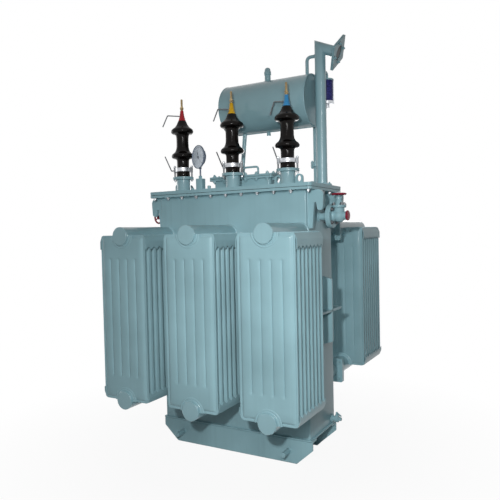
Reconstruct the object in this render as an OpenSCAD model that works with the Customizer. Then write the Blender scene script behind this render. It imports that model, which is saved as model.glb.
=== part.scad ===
// Oil-filled power transformer on skids: welded tank, pressed-steel radiators,
// three high-voltage bushings, conservator, explosion vent, breather and valves.
// X runs along the tank, -Y is the high-voltage side, Z = 0 is the ground.

/* [Tank] */
// Outside length of the tank
tank_length = 960; // [900:10:1200]
// Outside width of the tank
tank_width = 360; // [340:10:480]
// Height of the tank walls
tank_height = 1345; // [1300:5:1500]
// Thickness of walls and floor
tank_wall = 8; // [5:1:12]
// How far rim and cover stand out from the walls
rim_overhang = 50; // [40:5:70]
// Thickness of the welded rim
rim_thickness = 16; // [10:1:24]
// Thickness of the bolted cover
cover_thickness = 20; // [12:1:30]
// Corner radius of rim and cover
rim_corner = 20; // [5:1:40]

/* [Skids] */
// Height of the skid channels
skid_height = 140; // [120:5:200]
// Width of the channel flanges
skid_flange = 60; // [50:2:90]
// Thickness of web and flanges
skid_plate = 8; // [6:1:12]
// Length of each skid at the top
skid_length = 984; // [940:4:1200]
// How far the sledge ends are cut back at the ground
skid_bevel = 100; // [40:5:140]
// Height of the sledge cut
skid_rise = 90; // [60:5:100]
// Diameter of the haulage bars
haul_bar_d = 28; // [16:1:36]
// Length of the haulage bars outside the web
haul_bar_reach = 75; // [40:5:90]
// Distance between the haulage bars of one skid
haul_bar_spacing = 700; // [500:10:740]
// Hold-down holes: diameter
hold_hole_d = 22; // [16:1:28]
// Hold-down holes: spacing along the skid
hold_spacing = 600; // [400:10:660]

/* [Lifting lugs and stiffeners] */
// Thickness of the lug plates
lug_plate = 20; // [14:1:26]
// How far a lug stands out from the end wall
lug_reach = 88; // [80:2:100]
// Height of the lug leg down the wall
lug_height = 205; // [180:5:240]
// Width of the hanging lip of a lug
lug_lip = 40; // [32:1:44]
// Width of the sling notch
lug_notch = 12; // [10:1:14]
// Depth of the plate above the notch
lug_mouth = 73; // [66:1:78]
// How far the lip hangs below the top of the tank, to the middle of its round end
lug_hang = 94; // [84:1:104]
// Radius of the outer top corner of a lug
lug_crown = 30; // [20:1:36]
// How far the lugs lie back from the long walls
lug_setback = 22; // [0:2:30]
// How far the end stiffeners stand proud
stiffener_depth = 70; // [40:5:80]
// Thickness of the end stiffeners
stiffener_plate = 12; // [8:1:16]
// Length of the upright stiffener
stiffener_upright = 380; // [300:10:460]
// Length of the level stiffener
stiffener_level = 320; // [260:10:330]
// Stiffener crossing above the middle of the tank height
stiffener_lift = 12.5; // [-40:2.5:40]

/* [Radiators] */
// Front bottom headers above the tank floor
header_rise = 220; // [200:5:240]
// Front top headers below the top of the tank
header_drop = 225; // [205:5:245]
// Diameter of the header pipes
header_d = 100; // [89:1:110]
// Distance between the front radiators
radiator_pitch = 440; // [400:10:470]
// Distance of the rear radiators from the middle
rear_radiator_x = 370; // [350:5:400]
// How much higher the rear headers lie
rear_lift = 20; // [0:5:40]
// Width of a fin
fin_width = 310; // [290:2:320]
// Distance between fins
fin_pitch = 45; // [42:1:50]
// Fins of a front radiator
front_fins = 8; // [6:1:9]
// Fins of a rear radiator
rear_fins = 9; // [6:1:10]
// Wall to the first front fin
fin_standoff = 80; // [70:5:120]
// Flange to the first rear fin
rear_standoff = 190; // [120:5:240]
// Thickness of the seamed fin edge
fin_seam = 4; // [3:0.5:6]
// Thickness of the flat field above and below the flutes
fin_field = 10; // [8:1:12]
// Thickness of a flute at its crown
flute_depth = 16; // [13:0.5:20]
// Flutes across a fin
flute_count = 5; // [4:1:6]
// Distance between flutes
flute_pitch = 58; // [40:1:60]
// Header axis to the ends of the flutes
flute_margin = 115; // [95:5:140]
// Radius of the fin corners
fin_corner = 24; // [10:1:40]
// Width of the pressed collar round a header
collar_width = 22; // [16:1:28]
// Header end beyond the last fin
header_end = 27; // [20:1:40]
// Height of the tie strips along the fin edges
strip_height = 46; // [36:2:70]
// Thickness of the tie strips
strip_plate = 5; // [3:0.5:8]
// Side of the square rear flanges
flange_side = 150; // [130:2:170]
// Thickness of the square rear flanges
flange_plate = 14; // [10:1:20]
// Tank wall to the rear flange joint
stub_length = 260; // [220:10:300]
// Diameter of the rear stub pipes
stub_d = 89; // [76:1:100]

/* [Bushings] */
// Distance between phases
phase_pitch = 350; // [320:5:380]
// Distance of the bushings from the front wall line
phase_inset = 60; // [55:1:75]
// Diameter of the turret pipe
turret_d = 84; // [76:1:96]
// Height of the turret below its flange
turret_height = 72; // [60:2:100]
// Diameter of the turret flange
turret_flange_d = 128; // [118:1:136]
// Thickness of the turret flange
turret_flange = 16; // [8:1:20]
// Diameter of the porcelain foot
foot_d = 82; // [80:1:84]
// Height of the porcelain foot
foot_height = 32; // [26:1:40]
// Diameter of the porcelain body
body_d = 74; // [66:1:80]
// Diameter of the sheds
shed_d = 136; // [120:1:150]
// Height of the lower shed rim above the turret flange
shed_low = 117; // [100:1:130]
// Distance between the shed rims
shed_rise = 147; // [140:1:170]
// Height of the porcelain
porcelain_height = 340; // [330:1:380]
// Diameter of the porcelain top
porcelain_top_d = 48; // [44:1:54]
// Thickness of the clamp ring
ring_plate = 24; // [16:1:30]
// Outside diameter of the clamp ring
ring_d = 94; // [90:1:98]
// Width of the clamp blocks beside the ring
clamp_width = 18; // [14:1:22]
// Depth of the clamp blocks
clamp_depth = 17; // [14:1:18]
// Height of the coloured phase cone
cone_height = 58; // [44:1:64]
// Thickness of the washer under the cone
stem_washer = 4; // [3:1:8]
// Diameter of the terminal stem
stem_d = 14; // [10:1:18]
// Height of the stem above the cone
stem_height = 68; // [40:1:80]
// Diameter of the arcing-horn rods
horn_d = 8; // [7:0.5:10]
// Level part of the lower horns
horn_low_reach = 40; // [34:1:50]
// Rising part of the lower horns
horn_low_rise = 104; // [80:2:120]
// Reach of the upper horns
horn_top_reach = 110; // [90:2:130]
// Drop of the upper horns
horn_top_drop = 76; // [50:2:90]

/* [Cover fittings] */
// Length of the inspection neck
inspection_length = 380; // [300:10:420]
// Height of the inspection neck
inspection_height = 70; // [50:5:100]
// Flange of the inspection neck and cover round the neck
inspection_lip = 22; // [18:1:26]
// Thickness of the inspection flange and of its cover
inspection_plate = 12; // [8:1:16]
// Gap between the bushing flanges and the inspection flange
inspection_gap = 8; // [5:1:20]
// Gap between the inspection flange and the drum legs
leg_gap = 11; // [8:1:20]
// Handle of the inspection cover from the middle of the tank
handle_x = 54; // [20:2:80]
// Length of the handle
handle_length = 96; // [80:2:120]
// Height of the handle
handle_height = 48; // [40:1:60]
// Diameter of the thermometer dial
dial_d = 138; // [110:2:146]
// Depth of the thermometer case
dial_depth = 34; // [24:1:44]
// Height of the dial centre above the cover
dial_rise = 196; // [180:2:220]
// Dial centre from the middle of the tank
dial_x = -208; // [-230:2:-180]
// Dial centre in front of the middle of the tank
dial_y = 146; // [130:1:160]
// How far the dial is turned towards the end of the tank
dial_turn = 25; // [0:1:40]
// Diameter of the thermometer pocket
pocket_d = 42; // [34:1:50]
// Height of the thermometer pocket
pocket_height = 68; // [50:2:80]

/* [Conservator] */
// Outside diameter of the drum
drum_d = 300; // [280:5:330]
// Length of the drum
drum_length = 544; // [500:4:600]
// Wall of the drum
drum_wall = 5; // [4:1:8]
// Thickness of the end plates
drum_end = 8; // [6:1:14]
// Gap between the drum and the vent pipe
drum_gap = 9; // [6:1:16]
// Drum axis behind the middle of the tank
drum_y = 120; // [110:2:140]
// Drum axis above the cover
drum_rise = 497; // [460:5:540]
// Filler from the right end of the drum
filler_inset = 290; // [240:5:320]
// Diameter of legs
leg_d = 26; // [20:1:34]
// Left leg from the left end of the drum
leg_inset_left = 102; // [90:2:120]
// Right leg from the right end of the drum
leg_inset_right = 198; // [180:2:210]
// How far each leg is splayed at its foot
leg_splay = 50; // [30:5:60]
// Length of a leg foot
leg_foot = 70; // [50:2:80]
// Diameter of the pipe from drum to tank
feed_d = 26; // [20:1:30]
// Diameter of the flanges on that pipe
feed_flange_d = 60; // [50:1:66]
// Pipe from the right end of the drum
feed_inset = 21; // [18:1:30]
// Pipe behind the axis of the drum
feed_back = 75; // [60:1:76]

/* [Explosion vent and breather] */
// Diameter of the vent pipe
vent_d = 62; // [54:1:76]
// Vent pipe from the middle of the tank
vent_x = 454; // [446:1:470]
// Height of the bend above the drum axis
vent_rise = 293; // [243:5:343]
// Slope of the vent outlet below level
vent_slope = 22; // [10:1:35]
// Length of the vent outlet
vent_reach = 104; // [90:2:140]
// How far the vent outlet is turned towards the back
vent_turn = 8; // [0:1:15]
// Side of the square vent flange
vent_flange = 148; // [120:2:156]
// Thickness of the vent flange
vent_plate = 14; // [8:1:18]
// Diameter of the burst diaphragm
diaphragm_d = 84; // [70:1:96]
// Diameter of the equaliser pipe
equaliser_d = 20; // [14:1:26]
// Equaliser below the bend of the vent
equaliser_drop = 43; // [23:1:73]
// Equaliser bend radius
equaliser_bend = 42; // [30:1:50]
// Breather pipe below the bend of the vent
breather_drop = 127; // [113:2:173]
// Diameter of the breather pipe
breather_d = 22; // [18:1:26]
// Diameter of the breather jar
jar_d = 84; // [70:1:90]
// Height of the breather jar
jar_height = 118; // [90:2:140]

/* [Valves] */
// Height of the filter valve below the top of the tank
valve_drop = 139; // [120:1:160]
// Diameter of the valve pipes
valve_pipe_d = 42; // [34:1:50]
// Diameter of the valve flanges
valve_flange_d = 130; // [110:2:140]
// Thickness of each valve flange
valve_flange = 14; // [10:1:18]
// Length of the filter valve from the end wall to its spindle
valve_reach = 117; // [110:1:130]
// Flange joint of the filter valve from its spindle
valve_joint = 60; // [56:1:66]
// Diameter of the filter valve body
valve_body_d = 62; // [54:1:70]
// Height of the filter valve body above its pipe axis
valve_body = 44; // [40:1:48]
// Diameter of the bonnet flange
bonnet_d = 78; // [70:1:86]
// Thickness of the bonnet flange
bonnet_plate = 14; // [10:1:16]
// Outlet of the filter valve beyond its spindle
valve_outlet = 42; // [38:1:50]
// Diameter of the blind cap
cap_d = 52; // [46:1:60]
// Thickness of the blind cap
cap_plate = 14; // [10:1:18]
// Height of the filter handwheel above the valve
valve_rise = 118; // [112:1:130]
// Distance of the side handwheel from the end wall
side_reach = 96; // [92:1:110]
// Distance of the side valve from the front wall line
side_inset = 95; // [90:1:110]
// Side valve below the top of the tank
side_drop = 112; // [100:1:120]
// Diameter of the handwheels
wheel_d = 84; // [70:1:90]
// Thickness of the handwheel rim
wheel_rim = 11; // [8:0.5:14]
// Diameter of the valve spindles
spindle_d = 12; // [10:1:16]
// Radial play of the handwheels on their spindles
wheel_play = 0.05; // [0.02:0.01:0.1]
// Height of the drain valve above the tank floor
drain_rise = 32; // [30:1:60]

/* [Low-voltage cable box] */
// Width of the cable box
box_width = 300; // [240:10:320]
// Depth of the cable box
box_depth = 190; // [150:5:220]
// Height of the cable box
box_height = 440; // [360:10:520]
// Top of the box below the top of the tank
box_drop = 90; // [70:5:140]
// Wall of the box
box_wall = 4; // [3:0.5:6]

/* [Hidden] */
$fn = 72;
paint = [0.53, 0.66, 0.68];
dark_paint = [0.40, 0.52, 0.54];
porcelain_brown = [0.10, 0.05, 0.04];
zinc = [0.78, 0.80, 0.82];
brass = [0.72, 0.55, 0.25];
wheel_red = [0.55, 0.06, 0.12];
hl = tank_length / 2;
hw = tank_width / 2;
tank_top = skid_height + tank_height;
cover_z = tank_top + rim_thickness + cover_thickness;
phase_y = -(hw - phase_inset);
inspection_front = phase_y + turret_flange_d / 2 + inspection_gap;
inspection_back = drum_y - leg_d / 2 - leg_gap;
inspection_width = inspection_back - inspection_front - 2 * inspection_lip;
inspection_y = (inspection_front + inspection_back) / 2;
header_low = skid_height + header_rise;
header_spacing = tank_height - header_rise - header_drop;
stiffener_z = skid_height + tank_height / 2 + stiffener_lift;
fin_height = header_spacing + 10;
field_width = flute_count * flute_pitch;
foot_z = cover_z + turret_height + turret_flange;
drum_z = cover_z + drum_rise;
drum_right = vent_x - vent_d / 2 - drum_end - drum_gap;
drum_left = drum_right - drum_length;
filler_x = drum_right - filler_inset;
feed_x = drum_right - feed_inset;
feed_y = drum_y + feed_back;
breather_x = vent_x + 6;
breather_y = drum_y + vent_d / 2 + jar_d / 2 + 6;
breather_bend = 24;
equaliser_rise = vent_rise - equaliser_drop;
breather_rise = vent_rise - breather_drop;
jar_top = drum_z + breather_rise - breather_bend - 22;
filter_x = hl + valve_reach;
side_x = -hl - side_reach;
side_y = -(hw - side_inset);
side_z = tank_top - side_drop;
clamp_turn = 20;
horn_lift = 9;
vent_height = drum_rise + vent_rise;
vent_z = cover_z + vent_height;
valve_z = tank_top - valve_drop;
wheel_z = valve_z + valve_rise;
box_top = tank_top - box_drop;
wheel_gap = 6;
phases = [
    ["red", [0.70, 0.10, 0.12], -phase_pitch, 0, 8],
    ["yellow", [0.85, 0.68, 0.12], 0, -12, 0],
    ["blue", [0.16, 0.45, 0.75], phase_pitch, -25, 0]];

// Helper forms

// Round bar from point a to point b
module rod(a, b, d) {
    v = b - a;
    translate(a) rotate([0, acos(v[2] / norm(v)), atan2(v[1], v[0])]) cylinder(d = d, h = norm(v));
}

// Round bar along Z, then bent towards X through a right angle on a radius, then straight again
module bent_rod(d, first, bend, second) {
    cylinder(d = d, h = first);
    translate([bend, 0, first]) rotate([90, -90, 0]) rotate_extrude(angle = 90)
        translate([bend, 0]) circle(d = d);
    translate([bend, 0, first + bend]) rotate([0, 90, 0]) cylinder(d = d, h = second);
}

// Round bar along Z up to a mitred corner, and the part that goes straight on from it, turned towards X
module mitre_first(d, first, turn) difference() {
    cylinder(d = d, h = first + d);
    translate([0, 0, first]) rotate([0, turn / 2, 0]) translate([-2 * d, -d, 0]) cube([4 * d, 2 * d, 4 * d]);
}
module mitre_second(d, first, turn, second) difference() {
    translate([0, 0, first]) rotate([0, turn, 0]) translate([0, 0, -d]) cylinder(d = d, h = second + d);
    translate([0, 0, first]) rotate([0, turn / 2, 0]) translate([-2 * d, -d, -4 * d])
        cube([4 * d, 2 * d, 4 * d]);
}
module mitred_rod(d, first, turn, second) {
    mitre_first(d, first, turn);
    mitre_second(d, first, turn, second);
}

// Cylinder along X or Y from a start point
module bar_x(x, y, z, d, len) translate([x, y, z]) rotate([0, 90, 0]) cylinder(d = d, h = len);
module bar_y(x, y, z, d, len) translate([x, y, z]) rotate([-90, 0, 0]) cylinder(d = d, h = len);

module rounded(l, w, r) {
    square([l - 2 * r, w], center = true);
    square([l, w - 2 * r], center = true);
    for (x = [-1, 1], y = [-1, 1]) translate([x * (l / 2 - r), y * (w / 2 - r)]) circle(r);
}

// Tank and skids

module cross_stiffener() {
    rotate([0, 90, 0]) linear_extrude(stiffener_depth)
        square([stiffener_upright, stiffener_plate], center = true);
    rotate([0, 90, 0]) linear_extrude(stiffener_depth)
        square([stiffener_plate, stiffener_level], center = true);
}

module rear_stub(x, z) {
    bar_y(x, hw, z, stub_d, stub_length - flange_plate);
    translate([x, hw + stub_length, z]) rotate([90, 0, 0])
        linear_extrude(flange_plate) rounded(flange_side, flange_side, 10);
}

module tank_shell() color(paint) translate([0, 0, skid_height]) difference() {
    translate([-hl, -hw, 0]) cube([tank_length, tank_width, tank_height]);
    translate([tank_wall - hl, tank_wall - hw, tank_wall])
        cube([tank_length - 2 * tank_wall, tank_width - 2 * tank_wall, tank_height]);
}

module end_stiffeners() color(paint) for (s = [0, 1]) mirror([s, 0, 0])
    translate([hl, 0, stiffener_z]) cross_stiffener();

module rear_stubs() color(paint) for (s = [-1, 1], z = [0, header_spacing])
    rear_stub(s * rear_radiator_x, header_low + rear_lift + z);

module tank_rim() color(paint) translate([0, 0, tank_top]) linear_extrude(rim_thickness) difference() {
    rounded(tank_length + 2 * rim_overhang, tank_width + 2 * rim_overhang, rim_corner);
    square([tank_length - 2 * tank_wall, tank_width - 2 * tank_wall], center = true);
}

module cover_plate() color(paint) translate([0, 0, cover_z - cover_thickness]) linear_extrude(cover_thickness)
    rounded(tank_length + 2 * rim_overhang, tank_width + 2 * rim_overhang, rim_corner);

module skid() difference() {
    union() {
        translate([-skid_length / 2, -hw, 0]) rotate([90, 0, 90]) linear_extrude(skid_length) difference() {
            square([skid_flange, skid_height]);
            translate([skid_plate, skid_plate]) square([skid_flange, skid_height - 2 * skid_plate]);
        }
        for (s = [-1, 1])
            bar_y(s * haul_bar_spacing / 2, -hw - haul_bar_reach, skid_height / 2,
            haul_bar_d, haul_bar_reach + skid_plate / 2);
    }
    for (s = [0, 1]) mirror([s, 0, 0]) translate([0, skid_flange - hw + 1, 0])
        rotate([90, 0, 0]) linear_extrude(skid_flange + 2)
        polygon([[skid_length / 2 - skid_bevel, -0.01], [skid_length / 2 + 1, -0.01],
            [skid_length / 2 + 1, skid_rise], [skid_length / 2, skid_rise]]);
    for (s = [-1, 1])
        translate([s * hold_spacing / 2, (skid_flange + skid_plate) / 2 - hw, -1])
        cylinder(d = hold_hole_d, h = skid_plate + 2);
}
module skid_front() color(paint) skid();
module skid_rear() color(paint) mirror([0, 1, 0]) skid();

// Hook-shaped lifting lug: leg on the wall, notch open below, rounded lip outside
module lug() translate([hl, -hw + lug_setback + lug_plate, tank_top]) rotate([90, 0, 0]) difference() {
    lip = lug_reach - lug_lip;
    leg = lip - lug_notch;
    union() {
        linear_extrude(lug_plate) polygon([[0, 0], [lug_reach - lug_crown, 0], [lug_reach, -lug_crown],
            [lug_reach - 4, -lug_hang], [lip + 4, -lug_hang], [lip, -lug_mouth], [leg, -lug_mouth],
            [leg * 0.7, 8 - lug_height], [leg * 0.58, -lug_height], [0, -lug_height]]);
        translate([lug_reach - lug_crown, -lug_crown, 0]) cylinder(r = lug_crown, h = lug_plate);
        translate([lug_reach - lug_lip / 2, -lug_hang, 0]) cylinder(d = lug_lip - 8, h = lug_plate);
    }
    translate([lip - lug_notch / 2, -lug_mouth, -1]) cylinder(d = lug_notch, h = lug_plate + 2);
}
module lifting_lugs() color(paint) for (x = [0, 1], y = [0, 1]) mirror([x, 0, 0]) mirror([0, y, 0]) lug();

// Radiators: local Y points away from the tank, Z = 0 is the bottom header

module lens(w, t) {
    r = (w * w / 4 + t * t / 4) / t;
    intersection() {
        translate([0, r - t / 2]) circle(r, $fn = 180);
        translate([0, t / 2 - r]) circle(r, $fn = 180);
    }
}

// One fluted panel: seamed edge, flat fields, flutes and a half collar round each header
module fin() difference() {
    union() {
        translate([0, fin_seam / 2, header_spacing / 2]) rotate([90, 0, 0]) linear_extrude(fin_seam)
            rounded(fin_width, fin_height, fin_corner);
        for (z = [fin_corner / 2 - 5, header_spacing - flute_margin])
            translate([-field_width / 2, -fin_field / 2, z])
            cube([field_width, fin_field, flute_margin + 5 - fin_corner / 2]);
        translate([0, 0, flute_margin]) linear_extrude(header_spacing - 2 * flute_margin)
            for (i = [0 : flute_count - 1])
                translate([(i - (flute_count - 1) / 2) * flute_pitch, 0]) lens(flute_pitch, flute_depth);
        for (z = [0, 1]) intersection() {
            bar_y(0, -flute_depth / 2, z * header_spacing, header_d + 2 * collar_width, flute_depth);
            translate([-fin_width / 2, -flute_depth, -5]) cube([fin_width, 2 * flute_depth, fin_height]);
        }
    }
    for (z = [0, header_spacing]) bar_y(0, -flute_depth, z, header_d, 2 * flute_depth);
}

module fin_pack(fins, standoff) {
    depth = (fins - 1) * fin_pitch + fin_seam;
    for (i = [0 : fins - 1]) translate([0, standoff + i * fin_pitch, 0]) fin();
    for (s = [0, 1], z = [fin_corner - 5, header_spacing + 5 - fin_corner - strip_height]) mirror([s, 0, 0])
        translate([fin_width / 2, standoff - fin_seam / 2, z]) cube([strip_plate, depth, strip_height]);
}

module header(fins, standoff) bar_y(0, 0, 0, header_d, standoff + (fins - 1) * fin_pitch + header_end);

module at_front(x) translate([x, -hw, header_low]) rotate([0, 0, 180]) children();
module at_rear(x) translate([x, hw + stub_length, header_low + rear_lift]) children();

module front_headers() color(paint) for (x = [-1, 0, 1], z = [0, header_spacing])
    at_front(x * radiator_pitch) translate([0, 0, z]) header(front_fins, fin_standoff);
module rear_headers() color(paint) for (x = [-1, 1], z = [0, header_spacing])
    at_rear(x * rear_radiator_x) translate([0, 0, z]) {
        header(rear_fins, rear_standoff);
        translate([0, flange_plate, 0]) rotate([90, 0, 0]) linear_extrude(flange_plate)
            rounded(flange_side, flange_side, 10);
    }
module fins_front_left() color(paint) at_front(-radiator_pitch) fin_pack(front_fins, fin_standoff);
module fins_front_middle() color(paint) at_front(0) fin_pack(front_fins, fin_standoff);
module fins_front_right() color(paint) at_front(radiator_pitch) fin_pack(front_fins, fin_standoff);
module fins_rear_left() color(paint) at_rear(-rear_radiator_x) fin_pack(rear_fins, rear_standoff);
module fins_rear_right() color(paint) at_rear(rear_radiator_x) fin_pack(rear_fins, rear_standoff);

// High-voltage bushings, one set per phase

module at_phase(i) translate([phases[i][2], phase_y, 0]) children();

module bushing_turrets() color(paint) for (i = [0 : 2]) at_phase(i) translate([0, 0, cover_z]) {
    cylinder(d = turret_d, h = turret_height + 1);
    translate([0, 0, turret_height]) cylinder(d = turret_flange_d, h = turret_flange);
}

// Bell-shaped shed with a rounded rim and a flat underside
module shed_profile(z, top_z, top_r) {
    tip = 11;
    r = shed_d / 2;
    polygon([[0, z], [r - tip, z], [r - tip * 0.3, z + tip * 1.7],
        [(r + top_r) / 2, z + 2.6 * tip], [top_r + 6, z + (top_z - z) * 0.68],
        [top_r, top_z], [0, top_z]]);
    translate([r - tip, z + tip]) circle(tip);
}

module porcelain(i) color(porcelain_brown) at_phase(i) translate([0, 0, foot_z])
    rotate_extrude() intersection() {
    translate([0, 0]) square([shed_d, porcelain_height]);
    union() {
        square([foot_d / 2, foot_height]);
        square([body_d / 2, shed_low + shed_rise]);
        shed_profile(shed_low, shed_low + 54, body_d / 2);
        shed_profile(shed_low + shed_rise, porcelain_height - 8, porcelain_top_d / 2);
        square([porcelain_top_d / 2, porcelain_height]);
    }
}
module porcelain_red() porcelain(0);
module porcelain_yellow() porcelain(1);
module porcelain_blue() porcelain(2);

// Clamp rings on the feet, each with two clamp blocks and a lower arcing horn
module clamp_rings() color(zinc) for (i = [0 : 2]) at_phase(i) translate([0, 0, foot_z]) {
    difference() {
        union() {
            translate([0, 0, foot_height]) cylinder(d = ring_d, h = ring_plate);
            for (a = [0, 180]) rotate([0, 0, clamp_turn + a]) translate([ring_d / 2 - 2, -clamp_width / 2, 0])
                cube([clamp_depth, clamp_width, foot_height + ring_plate + 6]);
            rotate([0, 0, phases[i][3] + 180])
                translate([ring_d / 2 - 6, 0, foot_height + ring_plate / 2])
                rotate([0, 90, 0]) rotate([0, 0, 180])
                mitred_rod(horn_d, horn_low_reach + phases[i][4], 63, horn_low_rise);
        }
        cylinder(d = body_d, h = foot_height + ring_plate + 1);
    }
}

// Upper arcing horn: a bent rod from the stem out through the side of the cone
module top_horn_frame(i) translate([0, 0, stem_washer + cone_height * 0.4])
    rotate([0, 0, phases[i][3] + 180]) rotate([0, 90 - horn_lift, 0]) children();

// Stem on a washer, with the upper arcing horn
module stem(i) color(brass) at_phase(i) translate([0, 0, foot_z + porcelain_height]) {
    cylinder(d = porcelain_top_d - 4, h = stem_washer);
    cylinder(d = stem_d + 2, h = stem_washer + cone_height);
    cylinder(d = stem_d, h = stem_washer + cone_height + stem_height);
    top_horn_frame(i) mitred_rod(horn_d - 2, horn_top_reach, 68, horn_top_drop);
}
module stem_red() stem(0);
module stem_yellow() stem(1);
module stem_blue() stem(2);

module cone(i) color(phases[i][1]) at_phase(i) translate([0, 0, foot_z + porcelain_height]) difference() {
    translate([0, 0, stem_washer]) cylinder(d1 = porcelain_top_d - 6, d2 = stem_d + 8, h = cone_height);
    cylinder(d = stem_d + 2, h = stem_washer + cone_height + 1);
    top_horn_frame(i) cylinder(d = horn_d - 2, h = porcelain_top_d);
}
module cone_red() cone(0);
module cone_yellow() cone(1);
module cone_blue() cone(2);

// Fittings on the cover

module inspection_neck() color(paint) translate([0, inspection_y, cover_z]) {
    difference() {
        union() {
            linear_extrude(inspection_height) rounded(inspection_length, inspection_width, 16);
            translate([0, 0, inspection_height - inspection_plate]) linear_extrude(inspection_plate)
                rounded(inspection_length + 2 * inspection_lip, inspection_width + 2 * inspection_lip, 12);
        }
        translate([0, 0, -1]) linear_extrude(inspection_height + 2)
            rounded(inspection_length - 16, inspection_width - 16, 10);
    }
}

module inspection_cover() color(paint) translate([0, inspection_y, cover_z + inspection_height]) {
    linear_extrude(inspection_plate)
        rounded(inspection_length + 2 * inspection_lip, inspection_width + 2 * inspection_lip, 12);
    translate([0, -inspection_width / 4, inspection_plate]) {
        for (s = [0, 1])
            translate([handle_x, 0, 0]) mirror([s, 0, 0])
            translate([-handle_length / 2, 0, 0]) bent_rod(12, handle_height - 16, 16, handle_length / 2 - 16);
    }
}

module dial_frame() translate([dial_x, -dial_y, cover_z + dial_rise]) rotate([0, 0, -dial_turn]) children();

module thermometer() color(zinc) {
    translate([dial_x, -dial_y, cover_z]) {
        cylinder(d = pocket_d, h = pocket_height);
        cylinder(d = 24, h = pocket_height + 16, $fn = 6);
        cylinder(d = 10, h = dial_rise);
    }
    dial_frame() difference() {
        bar_y(0, -dial_depth / 2, 0, dial_d, dial_depth);
        bar_y(0, -dial_depth / 2 - 1, 0, dial_d - 10, 7);
    }
}
module thermometer_face() color([0.86, 0.90, 0.95])
    dial_frame() bar_y(0, -dial_depth / 2 + 3, 0, dial_d - 10, 3);

// Conservator

module drum_leg(x, way) {
    top = [x, drum_y, drum_z];
    foot = [x + way * leg_splay, drum_y, cover_z];
    intersection() {
        rod(foot + (foot - top) * 0.2, top, leg_d);
        translate([foot[0] - leg_splay - leg_d - leg_foot, drum_y - leg_d, cover_z])
            cube([2 * (leg_splay + leg_d + leg_foot), 2 * leg_d, drum_rise]);
    }
    translate([foot[0] - leg_foot / 2, drum_y - leg_d, cover_z]) cube([leg_foot, 2 * leg_d, 10]);
}

module conservator_legs() color(paint) difference() {
    union() {
        drum_leg(drum_left + leg_inset_left, -1);
        drum_leg(drum_right - leg_inset_right, 1);
    }
    bar_x(drum_left, drum_y, drum_z, drum_d, drum_length);
}

module conservator_shell() color(paint) {
    difference() {
        union() {
            bar_x(drum_left, drum_y, drum_z, drum_d, drum_length);
            translate([filler_x, drum_y, drum_z]) cylinder(d = 36, h = drum_d / 2 + 66);
            translate([filler_x, drum_y, drum_z + drum_d / 2 + 66]) sphere(d = 36);
            translate([filler_x, drum_y, drum_z + drum_d / 2 + 40]) cylinder(d = 42, h = 20);
            translate([filler_x, drum_y, drum_z - drum_d / 2 - 24]) cylinder(d = 24, h = drum_d / 2);
        }
        bar_x(drum_left - 1, drum_y, drum_z, drum_d - 2 * drum_wall, drum_length + 2);
    }
}

module drum_cap(x) color(dark_paint) bar_x(x, drum_y, drum_z, drum_d, drum_end);
module conservator_end_left() drum_cap(drum_left - drum_end);
module conservator_end_right() drum_cap(drum_right);

module conservator_feed() color(paint) difference() {
    translate([feed_x, feed_y, cover_z]) {
        cylinder(d = feed_d, h = drum_rise - drum_d / 4);
        cylinder(d = feed_flange_d, h = 12);
        translate([0, 0, drum_rise / 4]) cylinder(d = feed_flange_d, h = 24);
    }
    bar_x(drum_left - 1, drum_y, drum_z, drum_d, drum_length + 2);
}

// Explosion vent: upright pipe, mitred outlet and a square flange set on its corner

module vent_frame() translate([vent_x, drum_y, vent_z])
    rotate([0, 0, vent_turn]) rotate([0, 90 + vent_slope, 0]) children();

module vent_pipe() color(paint) translate([vent_x, drum_y, cover_z]) rotate([0, 0, vent_turn]) {
    cylinder(d = vent_d + 50, h = 14);
    mitre_first(vent_d, vent_height, 90 + vent_slope);
}
module vent_outlet() color(paint) translate([vent_x, drum_y, cover_z])
    rotate([0, 0, vent_turn])
    mitre_second(vent_d, vent_height, 90 + vent_slope, vent_reach);

module vent_flange() color(paint) vent_frame() translate([0, 0, vent_reach]) difference() {
    rotate([0, 0, 45]) linear_extrude(vent_plate) rounded(vent_flange, vent_flange, 6);
    translate([0, 0, vent_plate / 2]) cylinder(d = diaphragm_d, h = vent_plate);
}
module vent_diaphragm() color([0.12, 0.14, 0.15])
    vent_frame() translate([0, 0, vent_reach + vent_plate / 2])
    cylinder(d = diaphragm_d, h = 3);

// Pipe from the top of the drum into the vent
module equaliser_pipe() color(paint) {
    start_x = vent_x - vent_d / 2 - equaliser_bend - 8;
    top_z = drum_z + equaliser_rise;
    difference() {
        union() {
            translate([start_x, drum_y, drum_z])
                cylinder(d = equaliser_d, h = equaliser_rise - equaliser_bend);
            translate([start_x + equaliser_bend, drum_y, top_z - equaliser_bend])
                rotate([90, 0, 180]) rotate_extrude(angle = 90)
                translate([equaliser_bend, 0]) circle(d = equaliser_d);
            bar_x(start_x + equaliser_bend, drum_y, top_z, equaliser_d, vent_d / 2 + 8);
        }
        bar_x(drum_left, drum_y, drum_z, drum_d, drum_length);
        translate([vent_x, drum_y, cover_z]) cylinder(d = vent_d, h = vent_height);
    }
}

// Silica-gel breather hung from a bent pipe out of the vent

module breather_pipe() color(paint) difference() {
    translate([breather_x, breather_y, jar_top]) {
        translate([0, 0, 9]) rotate([0, 0, -90])
            bent_rod(breather_d, 13, breather_bend, breather_y - breather_bend - drum_y);
        cylinder(d = jar_d, h = 10);
    }
    translate([vent_x, drum_y, cover_z]) cylinder(d = vent_d, h = vent_height);
}
module breather_jar() color([0.08, 0.12, 0.55])
    translate([breather_x, breather_y, jar_top - jar_height])
    cylinder(d = jar_d - 8, h = jar_height);
module breather_cup() color(zinc) translate([breather_x, breather_y, jar_top - jar_height]) {
    translate([0, 0, -18]) cylinder(d = jar_d, h = 18);
    translate([0, 0, -40]) cylinder(d = 30, h = 24);
}

// Valves

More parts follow.
